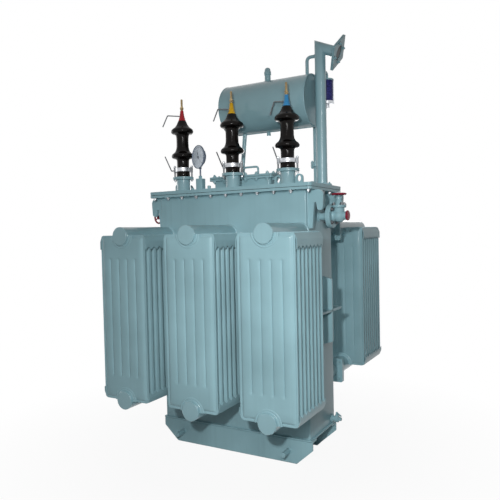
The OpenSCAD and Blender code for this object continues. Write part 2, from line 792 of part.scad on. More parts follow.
// Handwheel on its spindle, axis Z, hub centred on the origin
module handwheel() difference() {
    union() {
        rotate_extrude() translate([wheel_d / 2 - wheel_rim / 2, 0]) circle(d = wheel_rim);
        cylinder(d = spindle_d + 14, h = 14, center = true);
        for (a = [0, 120, 240]) rotate([0, 0, a])
            translate([spindle_d / 2 + 3, -4, -3])
            cube([wheel_d / 2 - wheel_rim / 2 - spindle_d / 2 - 3, 8, 6]);
    }
    cylinder(d = spindle_d + 2 * wheel_play, h = 40, center = true);
}

module filter_valve() color(paint) {
    flange_x = filter_x - valve_joint;
    body_end = filter_x + 28;
    bar_x(hl, 0, valve_z, valve_pipe_d, flange_x - hl + 1);
    bar_x(flange_x, 0, valve_z, valve_flange_d, 2 * valve_flange);
    bar_x(flange_x + 2 * valve_flange - 1, 0, valve_z, valve_body_d, body_end - flange_x - 2 * valve_flange);
    bar_x(filter_x + 24, 0, valve_z, valve_pipe_d + 4, valve_outlet - 24);
    translate([filter_x, 0, valve_z]) {
        cylinder(d = valve_body_d, h = valve_body);
        translate([0, 0, valve_body]) cylinder(d = bonnet_d, h = bonnet_plate);
        translate([0, 0, valve_body + bonnet_plate - 2])
            cylinder(d1 = 46, d2 = 26, h = valve_rise - valve_body - bonnet_plate + 2 - 7 - wheel_gap);
        cylinder(d = spindle_d, h = valve_rise + 12);
    }
}
module filter_valve_cap() color(wheel_red) bar_x(filter_x + valve_outlet, 0, valve_z, cap_d, cap_plate);
module filter_valve_wheel() color(wheel_red) translate([filter_x, 0, wheel_z]) handwheel();

module side_valve() color(paint) translate([-hl, side_y, side_z]) rotate([0, -90, 0]) {
    cylinder(d = valve_pipe_d, h = 50);
    cylinder(d = valve_pipe_d + 26, h = 10);
    translate([0, 0, 30]) cylinder(d = 58, h = 30, $fn = 8);
    translate([0, 0, 58]) cylinder(d1 = 42, d2 = 24, h = side_reach - 58 - 7 - wheel_gap);
    cylinder(d = spindle_d, h = side_reach + 12);
}
module side_valve_wheel() color(wheel_red) translate([side_x, side_y, side_z])
    rotate([0, -90, 0]) handwheel();

module drain_valve() color(paint) {
    y = hw - 40;
    z = skid_height + drain_rise;
    bar_x(hl, y, z, 30, 46);
    bar_x(hl, y, z, 48, 8);
    bar_x(hl + 20, y, z, 40, 22);
    translate([hl + 31, y, z]) cylinder(d = 17, h = 38);
    bar_x(hl + 45, y, z, 20, 14);
}

// Low-voltage cable box on the rear wall

module cable_box() color(paint) translate([0, hw, box_top - box_height]) difference() {
    translate([-box_width / 2, 0, 0]) cube([box_width, box_depth, box_height]);
    translate([-box_width / 2 + box_wall, box_wall, box_wall])
        cube([box_width - 2 * box_wall, box_depth, box_height - 2 * box_wall]);
}
module cable_box_cover() color(paint)
    translate([-box_width / 2 - 14, hw + box_depth, box_top - box_height - 14])
    cube([box_width + 28, 6, box_height + 28]);

tank_shell();
tank_rim();
cover_plate();
skid_front();
skid_rear();
lifting_lugs();
end_stiffeners();
rear_stubs();
front_headers();
rear_headers();
fins_front_left();
fins_front_middle();
fins_front_right();
fins_rear_left();
fins_rear_right();
bushing_turrets();
clamp_rings();
porcelain_red();
porcelain_yellow();
porcelain_blue();
stem_red();
stem_yellow();
stem_blue();
cone_red();
cone_yellow();
cone_blue();
inspection_neck();
inspection_cover();
thermometer();
thermometer_face();
conservator_shell();
conservator_legs();
conservator_end_left();
conservator_end_right();
conservator_feed();
vent_pipe();
vent_outlet();
vent_flange();
vent_diaphragm();
equaliser_pipe();
breather_pipe();
breather_jar();
breather_cup();
filter_valve();
filter_valve_cap();
filter_valve_wheel();
side_valve();
side_valve_wheel();
drain_valve();
cable_box();
cable_box_cover();
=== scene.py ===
import math
import bmesh
import bpy
from mathutils import Matrix, Vector


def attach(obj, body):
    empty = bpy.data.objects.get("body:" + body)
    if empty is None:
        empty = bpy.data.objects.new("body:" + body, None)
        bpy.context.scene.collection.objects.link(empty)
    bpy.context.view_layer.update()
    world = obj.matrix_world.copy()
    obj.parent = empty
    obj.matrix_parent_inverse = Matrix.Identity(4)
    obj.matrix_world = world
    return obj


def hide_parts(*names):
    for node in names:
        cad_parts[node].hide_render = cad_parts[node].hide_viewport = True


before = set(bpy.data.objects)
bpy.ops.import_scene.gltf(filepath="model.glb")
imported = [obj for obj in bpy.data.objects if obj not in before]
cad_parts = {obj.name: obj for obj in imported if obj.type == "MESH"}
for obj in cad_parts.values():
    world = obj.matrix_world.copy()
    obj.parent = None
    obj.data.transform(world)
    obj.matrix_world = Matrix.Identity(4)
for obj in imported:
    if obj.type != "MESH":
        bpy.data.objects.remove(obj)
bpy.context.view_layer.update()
scene = bpy.context.scene
print("frame loaded,", len(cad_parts), "nodes")


# a socket that can stand in a sum, and that can grow other nodes behind it
class Wire:
    def __init__(self, tree, socket=None):
        self.tree = tree
        self.socket = socket

    def node(self, kind, inputs=None, out=0, **settings):
        made = self.tree.nodes.new(kind)
        for key, value in settings.items():
            setattr(made, key, value)
        for key, value in (inputs or {}).items():
            if isinstance(value, Wire):
                value.into(made, key)
            else:
                made.inputs[key].default_value = value
        return Wire(self.tree, made.outputs[out])

    def into(self, node, name):
        self.tree.links.new(self.socket, node.inputs[name])

    def maths(self, operation, first, second):
        return self.node("ShaderNodeMath", {0: first, 1: second}, operation=operation)

    def __add__(self, other):
        return self.maths("ADD", self, other)

    def __radd__(self, other):
        return self.maths("ADD", other, self)

    def __sub__(self, other):
        return self.maths("SUBTRACT", self, other)

    def __rsub__(self, other):
        return self.maths("SUBTRACT", other, self)

    def __mul__(self, other):
        return self.maths("MULTIPLY", self, other)

    def __gt__(self, other):
        return self.maths("GREATER_THAN", self, other)

    def clamp(self):
        return self.node("ShaderNodeClamp", {"Value": self})

    def ramp(self, low, high):
        return self.node("ShaderNodeMapRange", {"Value": self, "From Min": low, "From Max": high})

    def mix(self, first, second):
        return self.node("ShaderNodeMix", {0: self, 6: first, 7: second}, 2, data_type="RGBA")


def newFinish(name, **constants):
    material = bpy.data.materials.new(name)
    material.use_nodes = True
    shader = material.node_tree.nodes["Principled BSDF"]
    for key, value in constants.items():
        shader.inputs[key.replace("_", " ")].default_value = value
    return material, Wire(material.node_tree).node("ShaderNodeTexCoord", out="Object")


def dress(material, colour, roughness, height, strength, distance):
    shader = material.node_tree.nodes["Principled BSDF"]
    relief = {"Strength": strength, "Distance": distance, "Height": height}
    colour.into(shader, "Base Color")
    roughness.into(shader, "Roughness")
    height.node("ShaderNodeBump", relief).into(shader, "Normal")
    return material


def shade(colour, times=1.0, plus=0.0):
    return (*(min(1, c * times + plus) for c in colour), 1)


def noise(place, scale, detail=2.0, stretch=None):
    if stretch:
        place = place.node("ShaderNodeMapping", {"Vector": place, "Scale": stretch})
    return place.node("ShaderNodeTexNoise", {"Vector": place, "Scale": scale, "Detail": detail})


# sprayed enamel: cloudy tone, faint runs down the walls, orange peel, and a paler dusty tint on what faces
# up, which is partly dust and partly a painted sheen
def enamel(name, colour, roughness=0.34, dustAndSheenAmount=0.5, runs=0.5, gloss=0.10):
    material, place = newFinish(name, Coat_Weight=gloss, Coat_Roughness=0.10, Specular_IOR_Level=0.12)
    pale, deep = shade(colour, 1.10, 0.01), shade(colour, 0.86)
    dustAndSheenColour = shade([c * 0.75 + d * 0.25 for c, d in zip(colour, (0.60, 0.58, 0.52))])
    tone = noise(place, 2.6, 3.0)
    streak = noise(place, 1.0, 3.0, (38, 38, 1.4)).ramp(0.52, 0.80)
    peel = noise(place, 520)
    dustAndSheenNoise = noise(place, 34, 4.0).ramp(0.45, 0.85)
    normal = place.node("ShaderNodeNewGeometry", out="Normal")
    up = place.node("ShaderNodeSeparateXYZ", {0: normal}, 2)
    # painted sheen and dust: faces that look up are mixed towards a pale dusty colour, partly for dust and
    # partly for the light their tops catch
    lying = (up.ramp(0.35, 0.95) * dustAndSheenNoise * dustAndSheenAmount).clamp()
    base = tone.ramp(0.3, 0.7).mix(deep, pale)
    base = (streak * runs * (1 - up.ramp(0.1, 0.5))).clamp().mix(base, deep)
    dull = roughness + tone * 0.10 - 0.05 + lying * 0.25 + streak * 0.06
    return dress(material, lying.mix(base, dustAndSheenColour), dull, peel, 0.10, 0.0006)


# dark glaze, warmer in patches
def glaze(name, colour):
    material, place = newFinish(name, Coat_Weight=0.20, Coat_Roughness=0.14, Specular_IOR_Level=0.02)
    pool = noise(place, 26, 3.0)
    fleck = noise(place, 300).ramp(0.62, 0.8)
    base = pool.ramp(0.45, 0.75).mix(shade(colour), shade(colour, 2.2))
    base = (fleck * 0.2).mix(base, (0.03, 0.018, 0.014, 1))
    return dress(material, base, 0.09 + pool * 0.06, pool, 0.02, 0.001)


# bare or plated metal with fine scratches and dull patches
def plated(name, colour, roughness):
    material, place = newFinish(name, Metallic=1.0)
    patch = noise(place, 60, 4.0)
    line = noise(place, 220, 2.0, (1, 1, 9))
    base = patch.ramp(0.35, 0.7).mix(shade(colour, 0.75), shade(colour))
    return dress(material, base, roughness + patch * 0.14 - 0.05 + line * 0.06, line, 0.06, 0.0004)


# coloured sleeve, rubber or plastic with slight mottling
def moulded(name, colour, roughness, grain=180.0, depth=0.12):
    material, place = newFinish(name, Specular_IOR_Level=0.2)
    mottle = noise(place, grain, 3.0)
    base = mottle.ramp(0.3, 0.7).mix(shade(colour, 0.72), shade(colour))
    return dress(material, base, roughness + mottle * 0.12 - 0.06, mottle, depth, 0.0008)


# a clear jar full of crystals, seen as coloured grains under gloss
def crystals(name, colour):
    material, place = newFinish(name, Coat_Weight=0.12, Coat_Roughness=0.05, Specular_IOR_Level=0.1)
    cells = {"Vector": place, "Scale": 170.0}
    grains = place.node("ShaderNodeTexVoronoi", cells, "Color")
    grain = place.node("ShaderNodeSeparateColor", {0: grains})
    edge = place.node("ShaderNodeTexVoronoi", cells, feature="DISTANCE_TO_EDGE")
    base = grain.ramp(0.1, 1.0).mix(shade(colour), shade(colour, 2.2, 0.03))
    # painted shade: the gaps between the grains are darkened to a near black blue
    base = edge.ramp(0.0, 0.12).mix((0.01, 0.012, 0.05, 1), base)
    return dress(material, base, 0.5 - grain * 0.25, edge, 0.3, 0.002)


tankPaint = enamel("tankPaint", (0.272, 0.452, 0.500))
finPaint = enamel("finPaint", (0.282, 0.466, 0.516), 0.32, 0.4, 0.25)
pipePaint = enamel("pipePaint", (0.262, 0.440, 0.488), 0.30, 1.2, 0.2, 0.5)
brownGlaze = glaze("brownGlaze", (0.0035, 0.0025, 0.0022))
zincPlate = plated("zincPlate", (0.60, 0.62, 0.65), 0.30)
dullSteel = plated("dullSteel", (0.16, 0.17, 0.18), 0.45)
brassStem = plated("brassStem", (0.32, 0.24, 0.13), 0.42)
rimZinc = plated("rimZinc", (0.46, 0.48, 0.50), 0.40)
redEnamel = enamel("redEnamel", (0.25, 0.013, 0.034), 0.28, 0.3, 0.2)
redSleeve = moulded("redSleeve", (0.60, 0.030, 0.045), 0.36)
yellowSleeve = moulded("yellowSleeve", (0.86, 0.50, 0.020), 0.36)
blueSleeve = moulded("blueSleeve", (0.055, 0.33, 0.68), 0.36)
gasketRubber = moulded("gasketRubber", (0.030, 0.033, 0.034), 0.62, 320.0, 0.3)
burstDisc = moulded("burstDisc", (0.030, 0.040, 0.044), 0.45, 60.0)
dialWhite = moulded("dialWhite", (0.80, 0.90, 1.0), 0.32, 90.0, 0.03)
dialCase = enamel("dialCase", (0.17, 0.21, 0.28), 0.30, 0.2, 0.1)
dialInk = moulded("dialInk", (0.035, 0.045, 0.07), 0.45)
blueGel = crystals("blueGel", (0.006, 0.008, 0.11))
print("finishes made")


# mesh making, all in millimetres; a piece is brought to metres when it is done
def at(x, y, z):
    return Matrix.Translation((x, y, z))


def spin(degrees):
    return Matrix.Rotation(math.radians(degrees), 4, "Z")


def aim(place, axis, turn=0.0):
    swing = Vector((0, 0, 1)).rotation_difference(Vector(axis)).to_matrix().to_4x4()
    return Matrix.Translation(place) @ swing @ spin(turn)


def circle(r, count, start=0.0):
    angles = [math.radians(start) + math.tau * i / count for i in range(count)]
    return [(r * math.cos(a), r * math.sin(a)) for a in angles]


def arc(cx, cy, r, start, end, steps=8):
    angles = [math.radians(start + (end - start) * i / steps) for i in range(steps + 1)]
    return [(cx + r * math.cos(a), cy + r * math.sin(a)) for a in angles]


def roundRect(length, width, r, steps=6):
    x, y = length / 2 - r, width / 2 - r
    corners = ((x, y, 0), (-x, y, 90), (-x, -y, 180), (x, -y, 270))
    return [spot for cx, cy, start in corners for spot in arc(cx, cy, r, start, start + 90, steps)]


# faces between two closed rings of points
def band(bm, low, high):
    for i in range(len(low)):
        j = (i + 1) % len(low)
        bm.faces.new((low[i], low[j], high[j], high[i]))


# faces over an open grid of points, and the points round its edge
def weave(bm, rows):
    for low, high in zip(rows, rows[1:]):
        for i in range(len(low) - 1):
            bm.faces.new((low[i], low[i + 1], high[i + 1], high[i]))


def border(rows):
    return rows[0] + [row[-1] for row in rows[1:-1]] + rows[-1][::-1] + [row[0] for row in rows[-2:0:-1]]


# points on a flat outline
def ring(bm, outline, z, place):
    return [bm.verts.new(place @ Vector((x, y, z))) for x, y in outline]


# profile of a plain rod
def rod(r, low, high):
    return [(0, low), (r, low), (r, high), (0, high)]


def lathe(bm, profile, place, steps=48, closed=False):
    rings = [ring(bm, circle(r, 1 if r < 1e-6 else steps), z, place) for r, z in profile]
    for low, high in zip(rings, rings[1:] + (rings[:1] if closed else [])):
        if len(low) == 1:
            for i in range(steps):
                bm.faces.new((low[0], high[i], high[(i + 1) % steps]))
        elif len(high) == 1:
            for i in range(steps):
                bm.faces.new((low[i], low[(i + 1) % steps], high[0]))
        else:
            band(bm, low, high)
    if not closed:
        for cap in (rings[0][::-1], rings[-1]):
            if len(cap) > 1:
                bm.faces.new(cap)


def slab(bm, outline, low, high, place=Matrix()):
    under, over = ring(bm, outline, low, place), ring(bm, outline, high, place)
    bm.faces.new(under[::-1])
    bm.faces.new(over)
    band(bm, under, over)


def brick(bm, low, high):
    slab(bm, [low[:2], (high[0], low[1]), high[:2], (low[0], high[1])], low[2], high[2])


# a plate with round corners, larger by grow than a part's own length and width
def sheet(bm, part, grow, corner, low, high, place=Matrix(), steps=6):
    slab(bm, roundRect(part["length"] + grow, part["width"] + grow, corner, steps), low, high, place)


def softPath(points, bend, steps=8):
    points = [Vector(p) for p in points]
    path = [points[0]]
    for before, here, after in zip(points, points[1:], points[2:]):
        come, go = here - before, after - here
        cut = min(bend * math.tan(come.angle(go) / 2), 0.48 * come.length, 0.48 * go.length)
        first, last = here - come.normalized() * cut, here + go.normalized() * cut
        for t in [k / steps for k in range(steps + 1)]:
            path.append(first * (1 - t) ** 2 + here * 2 * t * (1 - t) + last * t * t)
    return path + [points[-1]]


# pipe along a path; a ring at a corner lies in the mitre plane
def tube(bm, path, radius, sides=20):
    path = [Vector(p) for p in path]
    heading = [(b - a).normalized() for a, b in zip(path, path[1:])]
    across = heading[0].orthogonal().normalized()
    beside = heading[0].cross(across)
    offsets = [across * x + beside * y for x, y in circle(radius, sides)]
    rings = []
    for k, here in enumerate(path):
        come, go = heading[max(k - 1, 0)], heading[min(k, len(heading) - 1)]
        plane = (come + go).normalized()
        spots = [o - come * (o.dot(plane) / come.dot(plane)) for o in offsets]
        rings.append([bm.verts.new(here + s) for s in spots])
        offsets = [s - go * s.dot(go) for s in spots]
    for low, high in zip(rings, rings[1:]):
        band(bm, low, high)
    bm.faces.new(rings[0][::-1])
    bm.faces.new(rings[-1])


def soften(bm, width, sharp=60):
    edges = [e for e in bm.edges if len(e.link_faces) == 2 and e.calc_face_angle(0) > math.radians(sharp)]
    bmesh.ops.bevel(
        bm, geom=edges, offset=width, segments=2, profile=0.5, affect="EDGES", clamp_overlap=True)


# weld bead round a pipe
def bead(bm, place, r, size, steps):
    section = ((-0.3, 0), (1, 0), (0.75, 0.5), (0.3, 0.9), (-0.3, 1))
    lathe(bm, [(r + size * out, size * up) for out, up in section], place, steps, closed=True)


def meshFrom(bm, name):
    bmesh.ops.recalc_face_normals(bm, faces=bm.faces)
    bmesh.ops.scale(bm, vec=(0.001, 0.001, 0.001), verts=bm.verts)
    mesh = bpy.data.meshes.new(name)
    bm.to_mesh(mesh)
    bm.free()
    return mesh


def link(name, data):
    made = bpy.data.objects.new(name, data)
    scene.collection.objects.link(made)
    return made


def smooth(mesh, sharp):
    mesh.shade_smooth()
    mesh.set_sharp_from_angle(angle=math.radians(sharp))


def settle(made, nodes, body):
    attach(made, body)
    if nodes:
        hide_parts(*nodes)


def piece(name, bm, material, nodes=(), body="root", slot="paint", sharp=38):
    mesh = meshFrom(bm, name)
    mesh.materials.append(material)
    smooth(mesh, sharp)
    settle(link(name, mesh), nodes, body)


# a piece that is one turned form
def turned(name, profile, place, steps, material, nodes=(), closed=False, **more):
    bm = bmesh.new()
    lathe(bm, profile, place, steps, closed)
    piece(name, bm, material, nodes, **more)


# geometry nodes: the start and the end that both trees share
def openTree(name, inputs):
    tree = bpy.data.node_groups.new(name, "GeometryNodeTree")
    for label, kind in inputs:
        tree.interface.new_socket(name=label, in_out="INPUT", socket_type="NodeSocket" + kind)
    tree.interface.new_socket(name="Geometry", in_out="OUTPUT", socket_type="NodeSocketGeometry")
    given = tree.nodes.new("NodeGroupInput")
    return tree, Wire(tree), {socket.name: Wire(tree, socket) for socket in given.outputs if socket.name}


def joined(tree, parts):
    whole = tree.nodes.new("GeometryNodeJoinGeometry")
    for part in parts:
        part.into(whole, 0)
    return Wire(tree, whole.outputs[0])


def closeTree(tree, row, finish):
    real = row.node("GeometryNodeRealizeInstances", {"Geometry": row})
    painted = row.node("GeometryNodeSetMaterial", {"Geometry": real, "Material": finish})
    painted.into(tree.nodes.new("NodeGroupOutput"), "Geometry")
    return tree


def drive(made, tree, values):
    change = made.modifiers.new("nodes", "NODES")
    change.node_group = tree
    for item in tree.interface.items_tree:
        if item.in_out == "INPUT" and item.name in values:
            change[item.identifier] = values[item.name]
    made.update_tag()
    graph = bpy.context.evaluated_depsgraph_get()
    mesh = bpy.data.meshes.new_from_object(made.evaluated_get(graph))
    made.modifiers.clear()
    made.data = mesh
    smooth(mesh, 32)


# a bolt set stands one bolt on each point, along the point's own direction
boltParts = ("Head radius", "Head height", "Washer radius", "Washer height", "Stud radius", "Stud height")
boltSizes = {
    "m12": (11, 9.5, 13.5, 2.5, 6, 18),
    "m10": (9.5, 8, 11.5, 2, 5, 15),
    "m8": (7.5, 6.5, 9.2, 1.8, 4, 12)}


def boltTree():
    sizes = [(label, "Float") for label in boltParts]
    inputs = [("Geometry", "Geometry")] + sizes + [("Seed", "Int"), ("Finish", "Material")]
    tree, start, given = openTree("boltSet", inputs)
    headR, headH, washerR, washerH, studR, studH = [given[label] for label in boltParts]

    def lifted(part, height):
        lift = start.node("ShaderNodeCombineXYZ", {"Z": height})
        return start.node("GeometryNodeTransform", {"Geometry": part, "Translation": lift})

    def cylinder(sides, r, height):
        return start.node("GeometryNodeMeshCylinder", {"Vertices": sides, "Radius": r, "Depth": height})

    flats = cylinder(6, headR, headH * 0.8)
    taper = {"Vertices": 6, "Radius Top": headR * 0.84, "Radius Bottom": headR, "Depth": headH * 0.2}
    crown = start.node("GeometryNodeMeshCone", taper)
    washer = cylinder(16, washerR, washerH)
    stud = cylinder(10, studR, studH)
    whole = joined(tree, (lifted(flats, washerH + headH * 0.4), lifted(crown, washerH + headH * 0.8),
                          lifted(washer, washerH * 0.5), lifted(stud, studH * 0.5)))
    along = start.node("GeometryNodeInputNamedAttribute", {"Name": "along"}, data_type="FLOAT_VECTOR")
    stand = start.node("FunctionNodeAlignRotationToVector", {"Vector": along}, axis="Z")
    draw = {2: 0.0, 3: 6.28, "Seed": given["Seed"]}
    chance = start.node("FunctionNodeRandomValue", draw, 1, data_type="FLOAT")
    roll = start.node("FunctionNodeAxisAngleToRotation", {"Axis": (0, 0, 1), "Angle": chance})
    both = {"Rotation": stand, "Rotate By": roll}
    facing = start.node("FunctionNodeRotateRotation", both, rotation_space="LOCAL")
    stood = {"Points": given["Geometry"], "Instance": whole, "Rotation": facing}
    return closeTree(tree, start.node("GeometryNodeInstanceOnPoints", stood), given["Finish"])


boltSet = boltTree()


def bolts(name, spots, size, material=zincPlate, seed=4):
    mesh = bpy.data.meshes.new(name)
    mesh.from_pydata([Vector(place) * 0.001 for place, along in spots], [], [])
    field = mesh.attributes.new("along", "FLOAT_VECTOR", "POINT")
    for item, (place, along) in zip(field.data, spots):
        item.vector = along
    made = link(name, mesh)
    values = {label: value * 0.001 for label, value in zip(boltParts, boltSizes[size])}
    drive(made, boltSet, {**values, "Seed": seed, "Finish": material})
    settle(made, (), "root")


# four bolt places on a flange, looking up or down its own axis
def fourSpots(place, r, z, up=1, start=45):
    along = place.to_3x3() @ Vector((0, 0, up))
    return [(place @ Vector((x, y, z)), along) for x, y in circle(r, 4, start)]


print("tools ready")


# tank, with a proud floor plate and weld lines
tank = {
    "length": 960, "width": 360, "floor": 140, "floorPlate": 7, "floorOut": 10, "top": 1485, "overhang": 50,
    "rim": 14, "gasket": 3, "gasketIn": 6, "cover": 1521, "weldR": 5, "boltOut": 25,
    "boltPitch": (101, 102.5),
    "pads": ((-133, -170, 10, 22), (-240, -182, 8, 14), (-160, 60, 12, 20), (470, -60, 15, 16))}
hl, hw, tankTop, coverZ = tank["length"] / 2, tank["width"] / 2, tank["top"], tank["cover"]
bm = bmesh.new()
sheet(bm, tank, 0, 7, tank["floor"], tankTop, steps=4)
floorTop = tank["floor"] + tank["floorPlate"]
sheet(bm, tank, 2 * tank["floorOut"], 8, tank["floor"] + 0.5, floorTop, steps=4)
soften(bm, 1.5)
weldZ = tankTop - 1
for s in (-1, 1):
    tube(bm, [(-hl, s * hw, weldZ), (hl, s * hw, weldZ)], tank["weldR"], 10)
    tube(bm, [(s * hl, -hw, weldZ), (s * hl, hw, weldZ)], tank["weldR"], 10)
piece("tankWalls", bm, tankPaint, ["tank_shell"])

rimGrow, rimTop = 2 * tank["overhang"], tankTop + tank["rim"]
bm = bmesh.new()
sheet(bm, tank, rimGrow, 20, tankTop, rimTop)
soften(bm, 2)
piece("tankRim", bm, tankPaint, ["tank_rim"])
bm = bmesh.new()
sheet(bm, tank, rimGrow - 2 * tank["gasketIn"], 16, rimTop - 0.5, rimTop + tank["gasket"])
piece("coverGasket", bm, gasketRubber, slot="diaphragm")
bm = bmesh.new()
sheet(bm, tank, rimGrow, 20, rimTop + tank["gasket"] - 0.5, coverZ)
soften(bm, 2)
for x, y, r, h in tank["pads"]:  # small pads and plugs on the cover
    lathe(bm, [(r, -1), (r, h - 3), (r - 3, h), (0, h)], at(x, y, coverZ), 20)
piece("coverPlate", bm, tankPaint, ["cover_plate"])

px, py = tank["boltPitch"]
spots = [(i * px, s * (hw + tank["boltOut"])) for i in range(-5, 6) for s in (-1, 1)]
spots += [(s * (hl + tank["boltOut"]), i * py) for i in (-1, 0, 1) for s in (-1, 1)]
bolts("rimBolts", [((x, y, tankTop), (0, 0, -1)) for x, y in spots], "m10", rimZinc)
print("tank done")


# skids: channels with sledge ends, and haulage bars
skid = {
    "height": 140, "flange": 60, "plate": 8, "outer": 12, "inner": 8, "length": 984, "bevel": 100,
    "rise": 90, "barR": 14, "barReach": 75, "barSpacing": 700, "webPitch": 300, "web": 8, "weldR": 4}


def makeSkid(name, node, side):
    bm = bmesh.new()
    f, h, t, r = skid["flange"], skid["height"], skid["plate"], skid["inner"]
    half = arc(skid["outer"], skid["outer"], skid["outer"], 180, 270, 6)
    half += [(f - 2, 0), (f, 2), (f, t - 3), (f - 3, t)] + arc(t + r, t + r, r, 270, 180, 5)
    profile = half + [(x, h - y) for x, y in reversed(half)]
    place = Matrix(((0, 0, 1, -skid["length"] / 2), (-side, 0, 0, side * hw), (0, 1, 0, 0), (0, 0, 0, 1)))
    slab(bm, profile, 0, skid["length"], place)
    for end in (-1, 1):
        corner = Vector((end * skid["length"] / 2, 0, skid["rise"]))
        down = Vector((end * skid["rise"], 0, -skid["bevel"])).normalized()
        whole = bm.verts[:] + bm.edges[:] + bm.faces[:]
        cut = bmesh.ops.bisect_plane(bm, geom=whole, plane_co=corner, plane_no=down, clear_outer=True)
        rim = [g for g in cut["geom_cut"] if isinstance(g, bmesh.types.BMEdge)]
        bmesh.ops.contextual_create(bm, geom=rim)
    r, reach = skid["barR"], skid["barReach"]
    for end in (-1, 1):
        bar = aim((end * skid["barSpacing"] / 2, side * hw, h / 2), (0, side, 0))
        lathe(bm, [(0, -4), (r, -4), (r, reach - 2), (r - 2, reach), (0, reach)], bar, 28)
        bead(bm, bar, r, skid["weldR"], 28)
    near, far = sorted((side * (hw - f), side * (hw - t)))
    for i in (-1, 0, 1):  # web stiffeners inside the channel
        x, half = i * skid["webPitch"], skid["web"] / 2
        brick(bm, (x - half, near, t - 1), (x + half, far, h - t + 1))
    piece(name, bm, tankPaint, [node])


makeSkid("skidFront", "skid_front", -1)
makeSkid("skidRear", "skid_rear", 1)
print("skids done")


# lifting lugs, hooked, with weld beads along the wall
lug = {"plate": 20, "setback": 22, "weldR": 4, "weld": (5, 204)}
lugOutline = [(0, 0)] + arc(58, -30, 30, 90, 0, 10) + arc(68, -94, 16, 0, -180, 10)
lugOutline += arc(42, -73, 6, 0, 180, 8) + [(26, -192)] + arc(20, -199, 6, 20, -90, 3) + [(0, -205)]
lugBack = hw - lug["setback"] - lug["plate"]
corners = [(x, y) for x in (-1, 1) for y in (-1, 1)]
bm = bmesh.new()
for x, y in corners:
    place = Matrix(((x, 0, 0, x * hl), (0, 0, y, y * lugBack), (0, 1, 0, tankTop), (0, 0, 0, 1)))
    slab(bm, lugOutline, 0, lug["plate"], place)
soften(bm, 2, 50)
for x, y in corners:
    for edge in (lugBack, lugBack + lug["plate"]):
        tube(bm, [(x * hl, y * edge, tankTop - down) for down in lug["weld"]], lug["weldR"], 8)
piece("liftingLugs", bm, tankPaint, ["lifting_lugs"])

# crossed flat bars on both ends, their tips cut to a taper
brace = {"depth": 70, "plate": 12, "upright": 380, "level": 320, "height": 825, "taper": 18}
standing = ((0, 0, 1, 0), (0, 1, 0, brace["height"]), (0, 0, 0, 1))
lying = ((0, 1, 0, 0), (0, 0, 1, brace["height"]), (0, 0, 0, 1))
bm = bmesh.new()
for x in (-1, 1):
    for span, rows in ((brace["upright"], standing), (brace["level"], lying)):
        half, t = span / 2, brace["plate"] / 2
        tip = [(0, -half), (brace["taper"], -half), (brace["depth"], -half + brace["taper"])]
        slab(bm, tip + [(a, -b) for a, b in reversed(tip)], -t, t, Matrix(((x, 0, 0, x * hl), *rows)))
soften(bm, 1.5, 50)
piece("endBraces", bm, tankPaint, ["end_stiffeners"])
print("lugs and braces done")


# radiators: a pressed panel as a height field, mirrored to a closed fin, stood in rows by geometry nodes
fin = {
    "width": 310, "low": -5, "high": 905, "corner": 20, "field": 10.5, "lip": 3.6, "lipWidth": 7,
    "valley": 2.2, "valleyIn": 11, "rise": 14, "grooves": (-87, -29, 29, 87), "crests": (-58, 0, 58),
    "flute": 29, "crown": 3.8, "grooveDepth": 2.4, "grooveWidth": 3.6, "grooveLow": 122,
    "grooveHigh": 784, "grooveEnd": 16, "header": 50, "collar": 72, "collarRise": 4.5,
    "collarDrop": 4, "pitch": 45, "span": 900}
finMid, finHalf = (fin["low"] + fin["high"]) / 2, (fin["high"] - fin["low"]) / 2


def ease(t):
    return t * t * (3 - 2 * t)


def finHeight(x, z):
    r, lip, valley = fin["corner"], fin["lip"], fin["valley"]
    ax, az = abs(x) - (fin["width"] / 2 - r), abs(z - finMid) - (finHalf - r)
    edge = r - math.hypot(ax, az) if ax > 0 and az > 0 else r - max(ax, az)  # distance in from the edge
    if edge < fin["lipWidth"]:
        h = lip
    elif edge < fin["valleyIn"]:
        h = lip + (valley - lip) * (edge - fin["lipWidth"]) / (fin["valleyIn"] - fin["lipWidth"])
    else:
        h = valley + (fin["field"] - valley) * ease(min((edge - fin["valleyIn"]) / fin["rise"], 1))
    fade = min(z - fin["grooveLow"], fin["grooveHigh"] - z, fin["grooveEnd"]) / fin["grooveEnd"]
    if fade > 0:
        near = min(abs(x - g) for g in fin["grooves"])
        drop = fin["crown"] * max(1 - near / fin["flute"], 0) ** 2
        drop += fin["grooveDepth"] * math.exp(-(near / fin["grooveWidth"]) ** 2)
        h -= drop * ease(fade)
    return h


